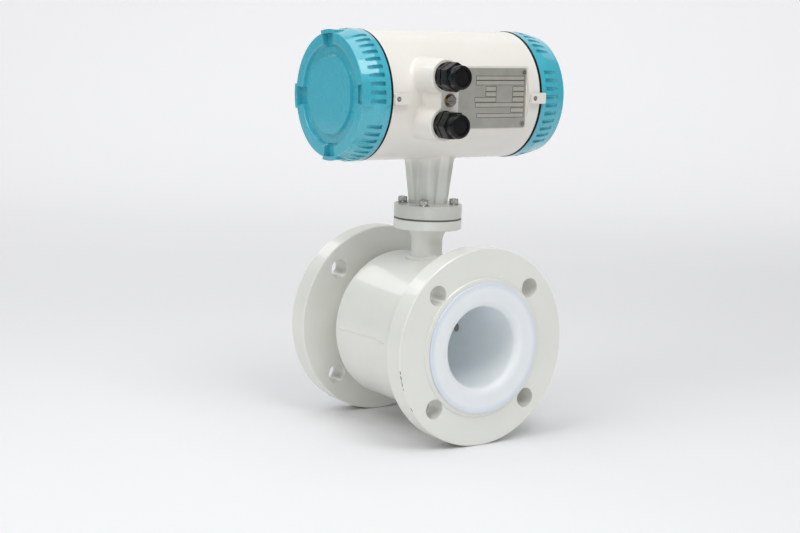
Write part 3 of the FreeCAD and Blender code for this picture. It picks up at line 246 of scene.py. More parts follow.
world = bpy.data.worlds.new("studio")
bpy.context.scene.world = world
world.use_nodes = True
tree = world.node_tree
sky = tree.nodes["Background"]
sky.inputs["Color"].default_value = (0.86, 0.87, 0.9, 1)
rays = add(tree, "LightPath").outputs
dimmer = add(tree, "MapRange", {"Value": rays["Is Glossy Ray"], "To Min": 0.5, "To Max": 0.16})
seen = add(tree, "MapRange", {"Value": rays["Is Camera Ray"], "To Min": 0.0, "To Max": 0.45})
both = add(tree, "Math", {0: dimmer.outputs["Result"], 1: seen.outputs["Result"]})
tree.links.new(both.outputs[0], sky.inputs["Strength"])
bpy.context.scene.view_settings.view_transform = "Standard"

# %% [markdown]
# ## Effects that many finishes share
# Paint, plastic and metal differ in colour, but the small things that make them look real are
# the same few: the colour drifts a little from place to place, the skin is never quite flat,
# corners are rubbed, and dust lies on what faces up. Each is built once as a node group and
# placed in the materials with its own values. A group only works out a colour, a mask or a
# height. The shader stays in the material.

# %% Colour drift
drift, given, made = new_group("colour_drift", {
    "Vector": "v", "Colour": "c", "Other Colour": "c", "Size": "f"}, {"Colour": "c"})
per_metre = add(drift, "Math", {0: 1.0, 1: given["Size"]}, operation="DIVIDE")
clouds = add(drift, "TexNoise", {"Vector": given["Vector"], "Scale": per_metre.outputs[0],
                                 "Detail": 3.0, "Roughness": 0.55})
soft = add(drift, "MapRange", {"Value": clouds.outputs["Fac"], "From Min": 0.3, "From Max": 0.7})
drift.links.new(mix_colour(drift, soft.outputs["Result"], given["Colour"], given["Other Colour"]),
                made["Colour"])

# %% Painted skin
skin, given, made = new_group("painted_skin", {
    "Vector": "v", "Peel": "f", "Flow": "f", "Flow Share": "f"}, {"Height": "f"})
fine = add(skin, "TexNoise", {"Vector": given["Vector"], "Scale": given["Peel"], "Detail": 1.0})
slow = add(skin, "TexNoise", {"Vector": given["Vector"], "Scale": given["Flow"], "Detail": 1.0})
both = add(skin, "Mix", {0: given["Flow Share"], 2: fine.outputs["Fac"], 3: slow.outputs["Fac"]})
skin.links.new(both.outputs[0], made["Height"])

# %% Rubbed corners
rub, given, made = new_group("rubbed_corners", {"Vector": "v", "Radius": "f"}, {"Mask": "f"})
rounded = add(rub, "Bevel", {"Radius": given["Radius"]}, samples=4)
flat = add(rub, "NewGeometry")
alike = add(rub, "VectorMath", {0: rounded.outputs[0], 1: flat.outputs["Normal"]},
            operation="DOT_PRODUCT")
edge = add(rub, "MapRange", {"Value": alike.outputs["Value"], "From Min": 0.985, "From Max": 0.9})
patchy = add(rub, "TexNoise", {"Vector": given["Vector"], "Scale": 160.0, "Detail": 4.0})
spots = add(rub, "MapRange", {"Value": patchy.outputs["Fac"], "From Min": 0.42, "From Max": 0.62})
rub.links.new(add(rub, "Math", {0: edge.outputs["Result"], 1: spots.outputs["Result"]},
                  operation="MULTIPLY").outputs[0], made["Mask"])

# %% Dust on what faces up
dust, given, made = new_group("dust", {"Vector": "v", "Amount": "f"}, {"Mask": "f"})
facing_up = add(dust, "SeparateXYZ", {0: add(dust, "NewGeometry").outputs["Normal"]})
level = add(dust, "MapRange", {"Value": facing_up.outputs["Z"], "From Min": 0.5, "From Max": 1.0})
specks = add(dust, "TexNoise", {"Vector": given["Vector"], "Scale": 900.0, "Detail": 3.0})
grit = add(dust, "MapRange", {"Value": specks.outputs["Fac"], "From Min": 0.45, "From Max": 0.75})
share = add(dust, "Math", {0: level.outputs["Result"], 1: grit.outputs["Result"]},
            operation="MULTIPLY")
dust.links.new(add(dust, "Math", {0: share.outputs[0], 1: given["Amount"]},
                   operation="MULTIPLY").outputs[0], made["Mask"])

# %% Lathe rings
lathe, given, made = new_group("lathe_rings", {"Vector": "v", "Pitch": "f"}, {"Height": "f", "Mask": "f"})
parts = add(lathe, "SeparateXYZ", {0: given["Vector"]})
squares = add(lathe, "CombineXYZ", {"X": parts.outputs["X"], "Y": parts.outputs["Y"], "Z": 0.0})
radius = add(lathe, "VectorMath", {0: squares.outputs[0]}, operation="LENGTH")
reach = add(lathe, "Math", {0: radius.outputs["Value"], 1: parts.outputs["Z"]}, operation="ADD")
turns = add(lathe, "Math", {0: reach.outputs[0], 1: given["Pitch"]}, operation="DIVIDE")
saw = add(lathe, "Math", {0: turns.outputs[0], 1: 1.0}, operation="PINGPONG")
unevenly = add(lathe, "TexNoise", {"W": turns.outputs[0], "Scale": 0.23, "Detail": 2.0},
               noise_dimensions="1D")
lathe.links.new(saw.outputs[0], made["Height"])
lathe.links.new(unevenly.outputs["Fac"], made["Mask"])

# %% Brushed grain
brush, given, made = new_group("brushed_grain", {"Vector": "v", "Scale": "f"}, {"Height": "f"})
lines = add(brush, "TexNoise", {"Vector": given["Vector"], "Scale": given["Scale"], "Detail": 4.0,
                                "Roughness": 0.7})
brush.links.new(lines.outputs["Fac"], made["Height"])

# %% Moulded stipple
stipple, given, made = new_group("moulded_stipple", {"Vector": "v", "Grain": "f"},
                                 {"Height": "f", "Mask": "f"})
cells = add(stipple, "TexVoronoi", {"Vector": given["Vector"], "Scale": given["Grain"]})
haze = add(stipple, "TexNoise", {"Vector": given["Vector"], "Scale": 70.0, "Detail": 3.0})
stipple.links.new(cells.outputs["Distance"], made["Height"])
stipple.links.new(haze.outputs["Fac"], made["Mask"])
print("effects:", [group.name for group in bpy.data.node_groups])

# %% [markdown]
# ## Paints
# The pipe part carries a satin off-white enamel, sprayed over sand-blasted steel, so its skin
# has a fine peel. The head has a warmer and smoother powder coat, and its covers a turquoise
# one. One function makes all three, because only colours, skin and gloss differ. A clear coat
# of little thickness gives the sharp highlight over the duller one of the pigment. Below its
# case the head's paint goes over to a greyer colour: painted shade, where the head shades its neck.

# %% Three paints
def paint(name, colour, other, worn, peel, flow, flow_share, reach, rough, coat, wear=0.5, dusty=0.25,
          painted_shade_below=None, edge=0.0007):
    """A sprayed paint: colour drift, worn corners, a little dust, a peel skin and a clear coat.

    thin is a colour and a height, and below that height the paint goes over to that colour, a painted
    shade.
    """
    material, tree, shader, where = new_material(name)
    tone = place(tree, drift, {"Vector": where, "Colour": colour, "Other Colour": other, "Size": 0.09})
    laid = tone["Colour"]
    # Below the given height the colour goes over to a darker grey: painted shade where the head shades the
    # neck.
    if painted_shade_below:
        up = add(tree, "SeparateXYZ", {0: where}).outputs["Z"]
        below = add(tree, "MapRange", {"Value": up, "From Min": painted_shade_below[1], "From Max": painted_shade_below[1] - 0.012})
        laid = mix_colour(tree, below.outputs["Result"], laid, painted_shade_below[0])
    corner = place(tree, rub, {"Vector": where, "Radius": 0.0009})
    amount = add(tree, "Math", {0: corner["Mask"], 1: wear}, operation="MULTIPLY")
    worn_tone = mix_colour(tree, amount.outputs[0], laid, worn)
    grey = place(tree, dust, {"Vector": where, "Amount": dusty})
    tree.links.new(mix_colour(tree, grey["Mask"], worn_tone, linear(205, 200, 190)),
                   shader.inputs["Base Color"])
    surface = place(tree, skin, {"Vector": where, "Peel": peel, "Flow": flow, "Flow Share": flow_share})
    gloss = add(tree, "MapRange", {"Value": surface["Height"], "From Min": 0.3, "From Max": 0.7,
                                   "To Min": rough - 0.04, "To Max": rough + 0.04})
    duller = add(tree, "Math", {0: gloss.outputs["Result"], 1: grey["Mask"]}, operation="ADD")
    tree.links.new(duller.outputs[0], shader.inputs["Roughness"])
    bump(tree, shader, surface["Height"], reach, edge)
    shader.inputs["Coat Weight"].default_value = coat
    shader.inputs["Coat Roughness"].default_value = 0.07
    return material


finish = {}
finish["white_enamel"] = paint(
    "white_enamel", linear(231, 232, 225), linear(226, 227, 219), linear(236, 236, 230),
    peel=900.0, flow=120.0, flow_share=0.5, reach=0.0002, rough=0.36, coat=0.45)
case_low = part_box("blind_cover_oring")[0].z
# The neck under the case gets a greyer colour: painted shade of the head above it.
finish["housing_paint"] = paint(
    "housing_paint", linear(236, 233, 226), linear(231, 227, 219), linear(244, 242, 236),
    peel=700.0, flow=90.0, flow_share=0.6, reach=0.00014, rough=0.34, coat=0.4,
    painted_shade_below=(linear(208, 210, 203), case_low + 0.002))
finish["teal_paint"] = paint(
    "teal_paint", linear(66, 182, 201), linear(60, 175, 195), linear(128, 206, 218),
    peel=500.0, flow=70.0, flow_share=0.8, reach=0.00003, rough=0.28, coat=1.0, edge=0.0012)
print("paints:", list(finish))


# %% [markdown]
# ## Metals
# Screws, electrodes and the ground washer are bare metal. Turned parts show rings from the
# tool, rolled and ground ones show straight lines, and both catch the light in streaks. The
# streaks come from the height of those lines and from a roughness that follows them.

# %% Bare metals
def metal(name, colour, other, rough, pitch=None, across=(1, 1, 1), grain=400.0, reach=0.00004,
          metallic=1.0):
    """A bare metal with lathe rings where a pitch is given, and with brushed lines otherwise."""
    material, tree, shader, where = new_material(name)
    tone = place(tree, drift, {"Vector": where, "Colour": colour, "Other Colour": other, "Size": 0.012})
    tree.links.new(tone["Colour"], shader.inputs["Base Color"])
    if pitch:
        lines = place(tree, lathe, {"Vector": where, "Pitch": pitch})
        streak = lines["Mask"]
    else:
        stretched = add(tree, "Mapping", {"Vector": where, "Scale": across})
        lines = place(tree, brush, {"Vector": stretched.outputs[0], "Scale": grain})
        streak = lines["Height"]
    spread = add(tree, "MapRange", {"Value": streak, "From Min": 0.3, "From Max": 0.7,
                                    "To Min": rough - 0.08, "To Max": rough + 0.1})
    tree.links.new(spread.outputs["Result"], shader.inputs["Roughness"])
    bump(tree, shader, lines["Height"], reach)
    shader.inputs["Metallic"].default_value = metallic
    return material


finish["alloy"] = metal("alloy", linear(150, 147, 141), linear(132, 130, 126), 0.25, pitch=0.0003)
finish["steel"] = metal("steel", linear(204, 202, 197), linear(184, 182, 178), 0.2, across=(1, 1, 8))
finish["brass"] = metal("brass", linear(176, 154, 120), linear(152, 130, 98), 0.3, pitch=0.0004)
finish["core_iron"] = metal("core_iron", linear(112, 114, 118), linear(92, 93, 97), 0.45, across=(1, 8, 8))
finish["plate_metal"] = metal("plate_metal", linear(196, 195, 186), linear(184, 183, 174), 0.4,
                              across=(1, 0.06, 1), grain=2500.0, metallic=0.6)
finish["copper_winding"] = metal("copper_winding", linear(196, 116, 72), linear(168, 92, 54), 0.3,
                                 pitch=0.0006, reach=0.0003)
print("metals:", [name for name in finish if finish[name].node_tree.nodes["Principled BSDF"]
                  .inputs["Metallic"].default_value > 0])


# %% [markdown]
# ## Plastics, rubber and glass
# The liner is skived PTFE, milky and waxy with fine tool rings. The glands are black nylon from
# a spark-eroded mould, the seals are matt rubber, and the small parts inside are ordinary
# moulded plastics. One function covers the moulded ones, with a stipple whose grain and depth set
# them apart. The liner, the two glasses and the circuit boards follow, each in a cell of its own.

# %% Moulded parts
def moulded(name, colour, other, rough, grain, reach, shine=0.5):
    """A moulded part: colour drift, a stippled skin, and a gloss that varies in soft patches."""
    material, tree, shader, where = new_material(name)
    tone = place(tree, drift, {"Vector": where, "Colour": colour, "Other Colour": other, "Size": 0.02})
    tree.links.new(tone["Colour"], shader.inputs["Base Color"])
    pits = place(tree, stipple, {"Vector": where, "Grain": grain})
    spread = add(tree, "MapRange", {"Value": pits["Mask"], "From Min": 0.3, "From Max": 0.7,
                                    "To Min": rough - 0.05, "To Max": rough + 0.07})
    tree.links.new(spread.outputs["Result"], shader.inputs["Roughness"])
    bump(tree, shader, pits["Height"], reach)
    shader.inputs["Specular IOR Level"].default_value = shine
    return material


for name, colour, other, rough, grain, reach, shine in (
        ("nylon", (18, 18, 20), (13, 13, 15), 0.26, 1800.0, 0.00005, 0.3),
        ("rubber", (12, 12, 13), (18, 18, 19), 0.62, 2600.0, 0.00008, 0.25),
        ("gasket_sheet", (118, 120, 115), (104, 106, 102), 0.7, 2600.0, 0.00008, 0.25),
        ("insulator", (226, 216, 192), (214, 202, 176), 0.45, 1500.0, 0.00005, 0.5),
        ("bezel_plastic", (58, 60, 62), (50, 52, 54), 0.45, 1600.0, 0.0001, 0.5),
        ("key_rubber", (138, 142, 146), (126, 130, 134), 0.6, 2200.0, 0.00006, 0.5),
        ("terminal_green", (52, 138, 84), (44, 124, 74), 0.4, 1700.0, 0.00006, 0.5)):
    finish[name] = moulded(name, linear(*colour), linear(*other), rough, grain, reach, shine)

# %% The liner
material, tree, shader, where = new_material("ptfe")
turned = add(tree, "Mapping", {"Vector": where, "Rotation": (0, math.radians(-90), 0)})
rings = place(tree, lathe, {"Vector": turned.outputs[0], "Pitch": 0.0005})
tone = place(tree, drift, {"Vector": where, "Colour": linear(240, 248, 255),
                           "Other Colour": linear(235, 243, 251), "Size": 0.05})
flare_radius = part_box("ptfe_liner")[1].z
spread = add(tree, "SeparateXYZ", {0: where}).outputs
flat_spot = add(tree, "CombineXYZ", {"X": 0.0, "Y": spread["Y"], "Z": spread["Z"]})
from_axis = add(tree, "VectorMath", {0: flat_spot.outputs[0]}, operation="LENGTH")
edge_wide, mouth_radius, throat_radius = 0.006, 0.047, 0.041
thin_edge = add(tree, "MapRange", {"Value": from_axis.outputs["Value"],
                                   "From Min": flare_radius - edge_wide, "From Max": flare_radius})
# Inside the bore the liner goes over to a whiter colour: painted light against the shade in the bore.
throat = add(tree, "MapRange", {"Value": from_axis.outputs["Value"], "From Min": mouth_radius,
                                "From Max": throat_radius})
bore_lit_tone = mix_colour(tree, throat.outputs["Result"], tone["Colour"], linear(243, 251, 255))
tree.links.new(mix_colour(tree, thin_edge.outputs["Result"], bore_lit_tone, linear(214, 223, 238)),
               shader.inputs["Base Color"])
waxy = add(tree, "MapRange", {"Value": rings["Mask"], "From Min": 0.3, "From Max": 0.7,
                              "To Min": 0.34, "To Max": 0.46})
tree.links.new(waxy.outputs["Result"], shader.inputs["Roughness"])
bump(tree, shader, rings["Height"], 0.00003)
shader.inputs["Subsurface Weight"].default_value = 0.6
shader.inputs["Subsurface Scale"].default_value = 0.5
shader.inputs["Subsurface Radius"].default_value = (0.006, 0.007, 0.008)
finish["ptfe"] = material

# %% The window
material, tree, shader, where = new_material("glass")
smear = place(tree, drift, {"Vector": where, "Colour": (0.02, 0.02, 0.02, 1),
                            "Other Colour": (0.07, 0.07, 0.07, 1), "Size": 0.03})
tree.links.new(smear["Colour"], shader.inputs["Roughness"])
shader.inputs["Base Color"].default_value = linear(240, 248, 246)
shader.inputs["Transmission Weight"].default_value = 1.0
shader.inputs["IOR"].default_value = 1.5
finish["glass"] = material

# %% The display glass
material, tree, shader, where = new_material("screen")
tone = place(tree, drift, {"Vector": where, "Colour": linear(152, 168, 128),
                           "Other Colour": linear(146, 161, 122), "Size": 0.03})
dots = add(tree, "Mapping", {"Vector": where, "Scale": (1800, 1800, 1800)})
grid = add(tree, "TexBrick", {
    "Vector": dots.outputs[0], "Color1": (1, 1, 1, 1), "Color2": (0.97, 0.97, 0.97, 1),
    "Mortar": (0.86, 0.86, 0.86, 1), "Mortar Size": 0.06, "Brick Width": 1.0,
    "Row Height": 1.0}, offset=0.0)
pane = add(tree, "Mix", {0: 1.0, 6: tone["Colour"], 7: grid.outputs["Color"]}, data_type="RGBA",
           blend_type="MULTIPLY")
tree.links.new(pane.outputs[2], shader.inputs["Base Color"])
# The pane glows a little with its own colour: partly a backlight, partly painted light that makes up for
# the lamp light the window keeps out.
tree.links.new(pane.outputs[2], shader.inputs["Emission Color"])
shader.inputs["Emission Strength"].default_value = 0.3
shader.inputs["Roughness"].default_value = 0.12
finish["screen"] = material

# %% The circuit boards
material, tree, shader, where = new_material("circuit_board")
laid = add(tree, "Mapping", {"Vector": where, "Scale": (260, 1, 260)})
tracks = add(tree, "TexBrick", {
    "Vector": laid.outputs[0], "Color1": (1, 1, 1, 1), "Color2": (0.6, 0.6, 0.6, 1),
    "Mortar": (0, 0, 0, 1), "Mortar Size": 0.02, "Brick Width": 3.1, "Row Height": 0.45})
lacquer = place(tree, drift, {"Vector": where, "Colour": linear(24, 92, 58),
                              "Other Colour": linear(20, 82, 52), "Size": 0.03})
over_copper = mix_colour(tree, tracks.outputs["Fac"], linear(38, 118, 70), lacquer["Colour"])
tree.links.new(over_copper, shader.inputs["Base Color"])
shader.inputs["Roughness"].default_value = 0.3
bump(tree, shader, tracks.outputs["Fac"], 0.00006)
finish["circuit_board"] = material
print("finishes:", len(finish))

# %% [markdown]
# ## Dress the construction model
# Each part of the model arrives with a plain material whose name says which finish it wants.
# The name is looked up, and the finished material takes its place in the same slot. Two parts
# have a finish of their own: the flat gasket in the neck is a grey fibre sheet, where the rings
# are rubber, and the steel pipe is painted where it shows between the flanges and the drum.

# %% Dress the parts
own_finish = {"neck_gasket": "gasket_sheet", "measuring_tube": "white_enamel"}
for name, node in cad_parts.items():
    for slot in node.material_slots:
        slot.material = finish[own_finish.get(name, slot.material.name.split(".")[0])]
print("dressed:", len(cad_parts), "parts")

# %% [markdown]
# ## Weld beads
# The flanges, the drum and the neck are welded on, and the beads show under the paint. A bead
# is a rope of overlapping scallops, one for each pass of the torch. Here it is a tube carried
# along the joint's own line: the tube's section is an ellipse that swells and falls in small
# steps. Half of it lies inside the metal, as a real bead's root does.

# %% A bead along a joint
def bead(name, path, out, width, high, pass_long, wander=0.15, closed=True, material="white_enamel",
         wave=0.08, body="meter"):
    """A weld bead along a path of (n, 3) points, out being the direction it bulges in.

    Across: centre + side * width / 2 * cos(a) + out * high * sin(a), with a from 0 to 2 pi and
    side square to both the path and out. Along: width and height are multiplied by
    1 - wander * |cos(pi * s / pass_long)| + wave * sin(190 s), s being the length run so far. An open
    bead shrinks to its middle over its last two passes at each end.
    """
    step = np.roll(path, -1, axis=0) - path
    if not closed:
        step[-1] = step[-2]
    run = np.concatenate([[0], np.cumsum(np.linalg.norm(step, axis=1))[:-1]])
    side = np.cross(step, out)
    side /= np.linalg.norm(side, axis=1, keepdims=True)
    swell = 1 - wander * np.abs(np.cos(np.pi * run / pass_long)) + wave * np.sin(run * 190.0)
    if not closed:
        from_end = np.minimum(run, run[-1] - run) / (2 * pass_long)
        swell = swell * np.sqrt(np.clip(from_end * (2 - from_end), 0.02, 1))
    angle = np.linspace(0, 2 * np.pi, 12, endpoint=False)
    across = side[:, None] * np.cos(angle)[None, :, None] * width / 2
    upward = out[:, None] * np.sin(angle)[None, :, None] * high
    points = path[:, None] + (across + upward) * swell[:, None, None]
    faces = grid_faces(len(path), 12, close_rows=closed, close_columns=True).tolist()
    if not closed:
        faces += [list(range(12)), list(range(len(path) * 12 - 1, len(path) * 12 - 13, -1))]
    return put_mesh(name, points.reshape(-1, 3), faces, finish[material], body=body)


def ring_points(radius, x, count):
    """Points of a circle about the pipe's axis and their outward directions."""
    angle = np.linspace(0, 2 * np.pi, count, endpoint=False)
    radial = np.stack([np.zeros(count), np.cos(angle), np.sin(angle)], axis=1)
    return radial * radius + np.array([x, 0, 0]), radial


# %% Beads on the pipe
tube_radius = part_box("measuring_tube")[1].z
drum_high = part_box("coil_casing")[1]
flange_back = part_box("outlet_flange")[0].x
for side, sign in (("inlet", -1), ("outlet", 1)):
    for place_name, x, lean in (("flange", sign * flange_back, -sign), ("drum", sign * drum_high.x, sign)):
        path, radial = ring_points(tube_radius, x, 420)
        out = (radial + np.array([lean, 0, 0])) / math.sqrt(2)
        bead("%s_%s_bead" % (side, place_name), path, out, width=0.0062, high=0.0036,
             pass_long=0.0028)
print("ring beads at r", round(tube_radius * 1000, 2), "mm")

# %% Drum seam and neck foot
drum_radius = drum_high.z
along_x = np.linspace(-0.043, 0.041, 280)
seam_z = 0.0015 + 0.0004 * np.sin(along_x * 95) + 0.00015 * np.sin(along_x * 410)
seam_y = -np.sqrt(drum_radius ** 2 - seam_z ** 2)
seam = np.stack([along_x, seam_y, seam_z], axis=1)
bead("drum_seam", seam, seam * [0, 1, 1] / drum_radius, width=0.0036, high=0.0011,
     pass_long=0.0034, closed=False)

angle = np.linspace(0, 2 * np.pi, 240, endpoint=False)
foot_radius = 0.0172
foot_y = foot_radius * np.sin(angle)
foot = np.stack([foot_radius * np.cos(angle), foot_y, np.sqrt(drum_radius ** 2 - foot_y ** 2)], axis=1)
drum_normal = np.stack([np.zeros(240), foot_y, foot[:, 2]], axis=1) / drum_radius
outward = np.stack([np.cos(angle), np.sin(angle), np.zeros(240)], axis=1) + drum_normal
outward /= np.linalg.norm(outward, axis=1, keepdims=True)
bead("neck_foot_bead", foot, outward, width=0.0072, high=0.0028, pass_long=0.0024, wander=0.12)
print("seam", len(seam), "points, foot bead", len(foot), "points")

# %% [markdown]
# ## Squeezed rings under the covers
# Each cover closes on a rubber ring, and the ring swells out of the gap as a smooth black lip.
# The same bead function makes it, with no scallops, carried round the head's own axis.

# %% Lips of the cover rings
lip_root = 0.0005  # how far inside the ring's skin the middle of the lip lies
for side in ("blind", "window"):
    low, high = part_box(side + "_cover_oring")
    angle = np.linspace(0, 2 * np.pi, 360, endpoint=False)
    radial = np.stack([np.cos(angle), np.zeros(360), np.sin(angle)], axis=1)
    middle_of_ring = np.array([0, (low.y + high.y) / 2, (low.z + high.z) / 2])
    path = middle_of_ring + radial * (high.x - lip_root)
    bead(side + "_ring_lip", path, radial, width=0.0034, high=0.0008, pass_long=1.0, wander=0,
         wave=0, material="rubber", body=side + "_seal")
    print(side, "ring at y", round(middle_of_ring[1] * 1000, 2), "mm, r", round(high.x * 1000, 2), "mm")

# %% [markdown]
# ## The ruled plate
# The rating plate is etched: each value on it has a bright field with a dark outline, and this
# meter leaves the fields empty. Ink is far thinner than any wall, so the fields and outlines
# are flat boxes a few hundredths of a millimetre proud of the plate. They are laid out in
# shares of the plate's own width and height, so they follow it if it changes.

# %% Flat shapes
def raised(name, shapes, origin, u, v, thick, material, body="meter"):
    """Thin prisms on a plane: shapes is (n, k, 2), n outlines of k corners in metres along u and v.

    A corner at (a, b) becomes origin + a * u + b * v, once on the plane and once thick above it
    along u x v; the foot, the top and the k sides of every prism are closed.
    """
    shapes = np.asarray(shapes, dtype=float)
    count, corners = shapes.shape[:2]
    u, v = np.array(u, dtype=float), np.array(v, dtype=float)
    foot = np.array(origin) + shapes[..., :1] * u + shapes[..., 1:] * v
    points = np.stack([foot, foot + np.cross(u, v) * thick], axis=1)
    base = (np.arange(count) * 2 * corners)[:, None]
    turn = np.arange(corners)
    faces = (base + turn[::-1]).tolist() + (base + corners + turn).tolist()
    side = np.stack([turn, np.roll(turn, -1), np.roll(turn, -1) + corners, turn + corners], axis=1)
    faces += (base[..., None] + side).reshape(-1, 4).tolist()
    return put_mesh(name, points.reshape(-1, 3), faces, material, smooth=False, body=body)


def oblongs(edges):
    """Rectangles given as (n, 4) rows of u0, u1, v0, v1, as outlines of four corners."""
    edges = np.asarray(edges, dtype=float)
    return np.stack([edges[:, [0, 1, 1, 0]], edges[:, [2, 2, 3, 3]]], axis=-1)


# %% Fields and outlines
plate_low, plate_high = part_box("nameplate")
plate_wide, plate_tall = plate_high.y - plate_low.y, plate_high.z - plate_low.z
columns = {"wide": (0.29, 0.97), "left": (0.43, 0.57), "right": (0.81, 0.97), "middle": (0.28, 0.57),
           "end": (0.79, 0.97), "low": (0.31, 0.97)}
rows = [(0.135, 0.195, "wide"), (0.212, 0.277, "wide"), (0.31, 0.38, "left right"),
        (0.40, 0.47, "left right"), (0.49, 0.56, "middle right"), (0.58, 0.645, "wide"),
        (0.67, 0.735, "end"), (0.76, 0.82, "low")]
fields = np.array([[columns[word][0], columns[word][1], 1 - bottom, 1 - top]
                   for top, bottom, words in rows for word in words.split()])
fields = fields * [plate_wide, plate_wide, plate_tall, plate_tall] + [
    plate_low.y, plate_low.y, plate_low.z, plate_low.z]
line = 0.00045
y0, y1, z0, z1 = fields.T
outlines = np.concatenate([
    np.stack([y0 - line, y1 + line, z1, z1 + line], 1), np.stack([y0 - line, y1 + line, z0 - line, z0], 1),
    np.stack([y0 - line, y0, z0, z1], 1), np.stack([y1, y1 + line, z0, z1], 1)])
ink = moulded("plate_ink", linear(70, 66, 60), linear(84, 80, 72), 0.5, 3000.0, 0.00001)
bright = metal("plate_field", linear(212, 210, 198), linear(202, 200, 188), 0.36, across=(1, 0.06, 1),
               grain=2500.0, reach=0.00001, metallic=0.6)
ink_root = 0.00001  # how far the foot of the ink lies inside what it is printed on
plate_face = (plate_high.x - ink_root, 0, 0)
raised("nameplate_fields", oblongs(fields), plate_face, (0, 1, 0), (0, 0, 1), 0.00004, bright)
raised("nameplate_outlines", oblongs(outlines), plate_face, (0, 1, 0), (0, 0, 1), 0.00006, ink)
print("fields:", len(fields), "outlines:", len(outlines))

# %% [markdown]
# ## Display and keys
# Behind the window sits a liquid crystal display with plain seven-segment figures, and four
# rubber keys with simple marks. A segment is a flat bar with pointed ends. Every figure is a
# choice of seven bars, so one table of which bars are lit draws any number.

# %% Seven segments
lit = {"0": "abcdef", "1": "bc", "2": "abdeg", "3": "abcdg", "4": "bcfg", "5": "acdfg",
       "6": "acdefg", "7": "abc", "8": "abcdefg", "9": "abcdfg"}
spots = {"a": (0.5, 2, 0), "b": (1, 1.5, 1), "c": (1, 0.5, 1), "d": (0.5, 0, 0), "e": (0, 0.5, 1),
         "f": (0, 1.5, 1), "g": (0.5, 1, 0)}


def figures(text, left, bottom, tall, lean=0.12, gap=0.5):
    """Outlines of seven-segment figures: (n, 6, 2), the first figure at left, all tall high.

    A bar with half length h and thickness t has the corners (-h, 0), (-h + t/2, t/2),
    (h - t/2, t/2) and their mirror images. It is turned upright where needed, scaled to half the
    figure's height, moved to its spot, and leant by u += lean * (v - bottom). A point is a
    smaller bar.
    """
    h, t = 0.45, 0.22
    bar = np.array([[-h, 0], [-h + t / 2, -t / 2], [h - t / 2, -t / 2],
                    [h, 0], [h - t / 2, t / 2], [-h + t / 2, t / 2]])
    upright = np.stack([-bar[:, 1], bar[:, 0]], axis=1)
    half = tall / 2
    shapes, pen = [], left
    for letter in text:
        if letter == ".":
            shapes.append(bar * [0.28, 0.9] * half + [pen - gap * half * 0.55, bottom])
            continue
        for word in lit[letter]:
            u, v, stands = spots[word]
            shapes.append((upright if stands else bar) * half + [pen + u * half, bottom + v * half])
        pen += half * (1 + gap)
    shapes = np.array(shapes)
    shapes[..., 0] += lean * (shapes[..., 1] - bottom)
    return shapes


# %% Figures on the display
screen_low, screen_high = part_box("lcd_panel")
screen_wide, screen_tall = screen_high.x - screen_low.x, screen_high.z - screen_low.z
segment_ink = moulded("segment_ink", linear(38, 44, 36), linear(46, 52, 42), 0.3, 2500.0, 0.00001)
screen_corner = (screen_high.x, screen_high.y - ink_root, screen_low.z)
reading = np.concatenate([
    figures("12.46", screen_wide * 0.12, screen_tall * 0.48, screen_tall * 0.4),
    figures("003718", screen_wide * 0.12, screen_tall * 0.13, screen_tall * 0.2)])
raised("display_figures", reading, screen_corner, (-1, 0, 0), (0, 0, 1), 0.00005, segment_ink)
scale = np.linspace(0.64, 0.9, 12)[:, None] * screen_wide
ticks = oblongs(np.concatenate([scale, scale + 0.0006, 0 * scale + screen_tall * 0.13,
                                screen_tall * (0.2 + 0.013 * np.arange(12)[:, None])], axis=1))
raised("display_scale", ticks, screen_corner, (-1, 0, 0), (0, 0, 1), 0.00005, segment_ink)
print("bars lit:", len(reading))

# %% Marks on the keys
mark_ink = moulded("mark_ink", linear(232, 232, 228), linear(222, 222, 218), 0.5, 2500.0, 0.00001)
# The marks glow a little: painted light, so that they show behind the window, where little lamp light
# reaches.
mark_ink.node_tree.nodes["Principled BSDF"].inputs["Emission Strength"].default_value = 0.25
marks = {
    "menu_key": oblongs([[-1, 1, v - 0.14, v + 0.14] for v in (-0.6, 0, 0.6)]),
    "left_key": np.array([[[0.9, 0.8], [-1.0, 0.0], [0.9, -0.8]]]),
    "up_key": np.array([[[-0.8, -0.9], [0.8, -0.9], [0.0, 1.0]]]),
    "enter_key": np.array([[[-0.8, 0], [0, -0.8], [0.8, 0], [0, 0.8]]]),
}
mark_reach = 0.0017  # from the middle of a key to the end of its mark
for key, shapes in marks.items():
    low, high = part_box(key)
    centre = ((low.x + high.x) / 2, high.y - ink_root, (low.z + high.z) / 2)
    raised(key + "_mark", shapes * mark_reach, centre, (-1, 0, 0), (0, 0, 1), 0.00005, mark_ink,
           body=key)
print("keys marked:", len(marks))

# %% [markdown]
# ## Knurled screw heads
# The cap screws of the neck flange have fine ribs round their heads, for the fingers, and the
# ribs are what breaks their shine into dark and bright stripes. Each head gets a thin sleeve: a
# ring whose outer wall rises and falls as it goes round. The middle of a head is found from the
# box of all four, since they stand at the corners of a square.

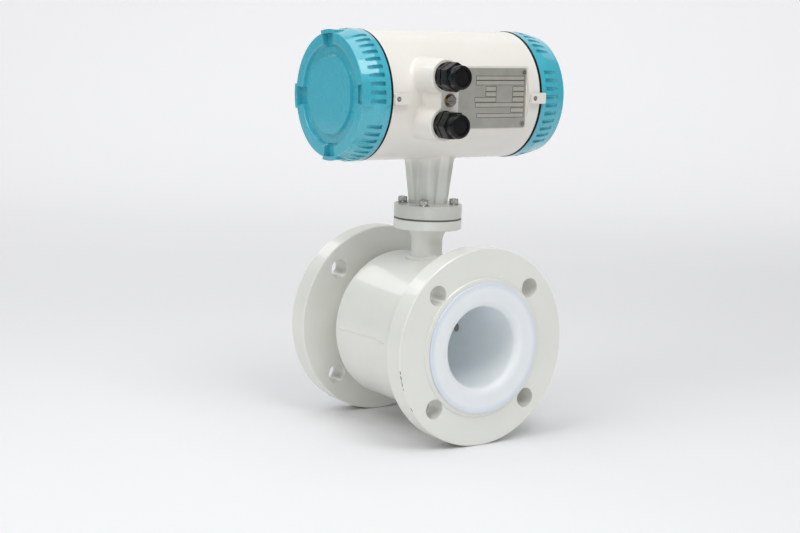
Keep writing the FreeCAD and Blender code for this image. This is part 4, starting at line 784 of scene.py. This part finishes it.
# %% Sleeves on the cap screws
def knurled(name, centres, radius, low, high, teeth, deep, material):
    """Ribbed sleeves about upright axes at centres, an (n, 2) array, from low to high.

    The wall is at radius + deep * |cos(teeth * a / 2)|, with a from 0 to 2 pi. The section is
    closed by a ring just inside the head, and the ends slope in over the height of a rib.
    """
    angle = np.linspace(0, 2 * np.pi, teeth * 4, endpoint=False)
    rib = np.abs(np.cos(teeth * angle / 2))
    inside, slope = radius - 0.0002, 2 * deep
    walls = np.stack([inside + 0 * rib, radius + 0 * rib, radius + deep * rib, radius + deep * rib,
                      radius + 0 * rib, inside + 0 * rib])
    heights = np.array([high, high, high - slope, low + slope, low, low])[:, None] + 0 * rib
    ring = np.stack([walls * np.cos(angle), walls * np.sin(angle), heights], axis=-1)
    spots = np.concatenate([centres, np.zeros((len(centres), 1))], axis=1)
    points = (ring[None] + spots[:, None, None]).reshape(-1, 3)
    faces = grid_faces(6, len(angle), close_rows=True, close_columns=True)
    faces = (np.arange(len(centres))[:, None, None] * 6 * len(angle) + faces).reshape(-1, 4)
    return put_mesh(name, points, faces, material, smooth=False, body="meter")


head_radius, head_high = 0.00425, 0.005
screws_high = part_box("neck_screws")[1]
corner = screws_high.x - head_radius
centres = np.array([[corner, corner], [-corner, corner], [-corner, -corner], [corner, -corner]])
knurled("neck_screw_ribs", centres, head_radius, low=screws_high.z - head_high + 0.0006,
        high=screws_high.z - 0.0005, teeth=34, deep=0.00022, material=finish["steel"])
print("cap screws on a circle of", round(corner * math.sqrt(8) * 1000, 1), "mm")

# %% [markdown]
# ## Paint chips on the front rim
# Where a flange has been set down on its edge, the paint is chipped to dark steel. The chips
# are very flat beads, longer than wide, laid on the bevel of the outlet flange.

# %% Chips
finish["bare_edge"] = metal("bare_edge", linear(96, 94, 88), linear(70, 68, 64), 0.6, grain=900.0)
rim_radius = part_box("outlet_flange")[1].z
rim_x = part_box("outlet_flange")[1].x - 0.0015
for number, (start, end, width) in enumerate([(188.0, 190.4, 0.0008), (191.0, 193.6, 0.0011),
                                              (194.0, 197.6, 0.0008), (198.2, 200.4, 0.0005),
                                              (211.4, 214.6, 0.0006)]):
    sweep_angle = np.radians(np.linspace(start, end, 40))
    radial = np.stack([np.zeros(40), np.cos(sweep_angle), np.sin(sweep_angle)], axis=1)
    path = radial * (rim_radius - 0.0005) + np.array([rim_x - 0.0005, 0, 0])
    out = (radial + np.array([1, 0, 0])) / math.sqrt(2)
    bead("rim_chip_%d" % number, path, out, width, high=0.00004, pass_long=0.0009, wander=0.3,
         closed=False, material="bare_edge")
print("rim at r", round(rim_radius * 1000, 2), "mm")
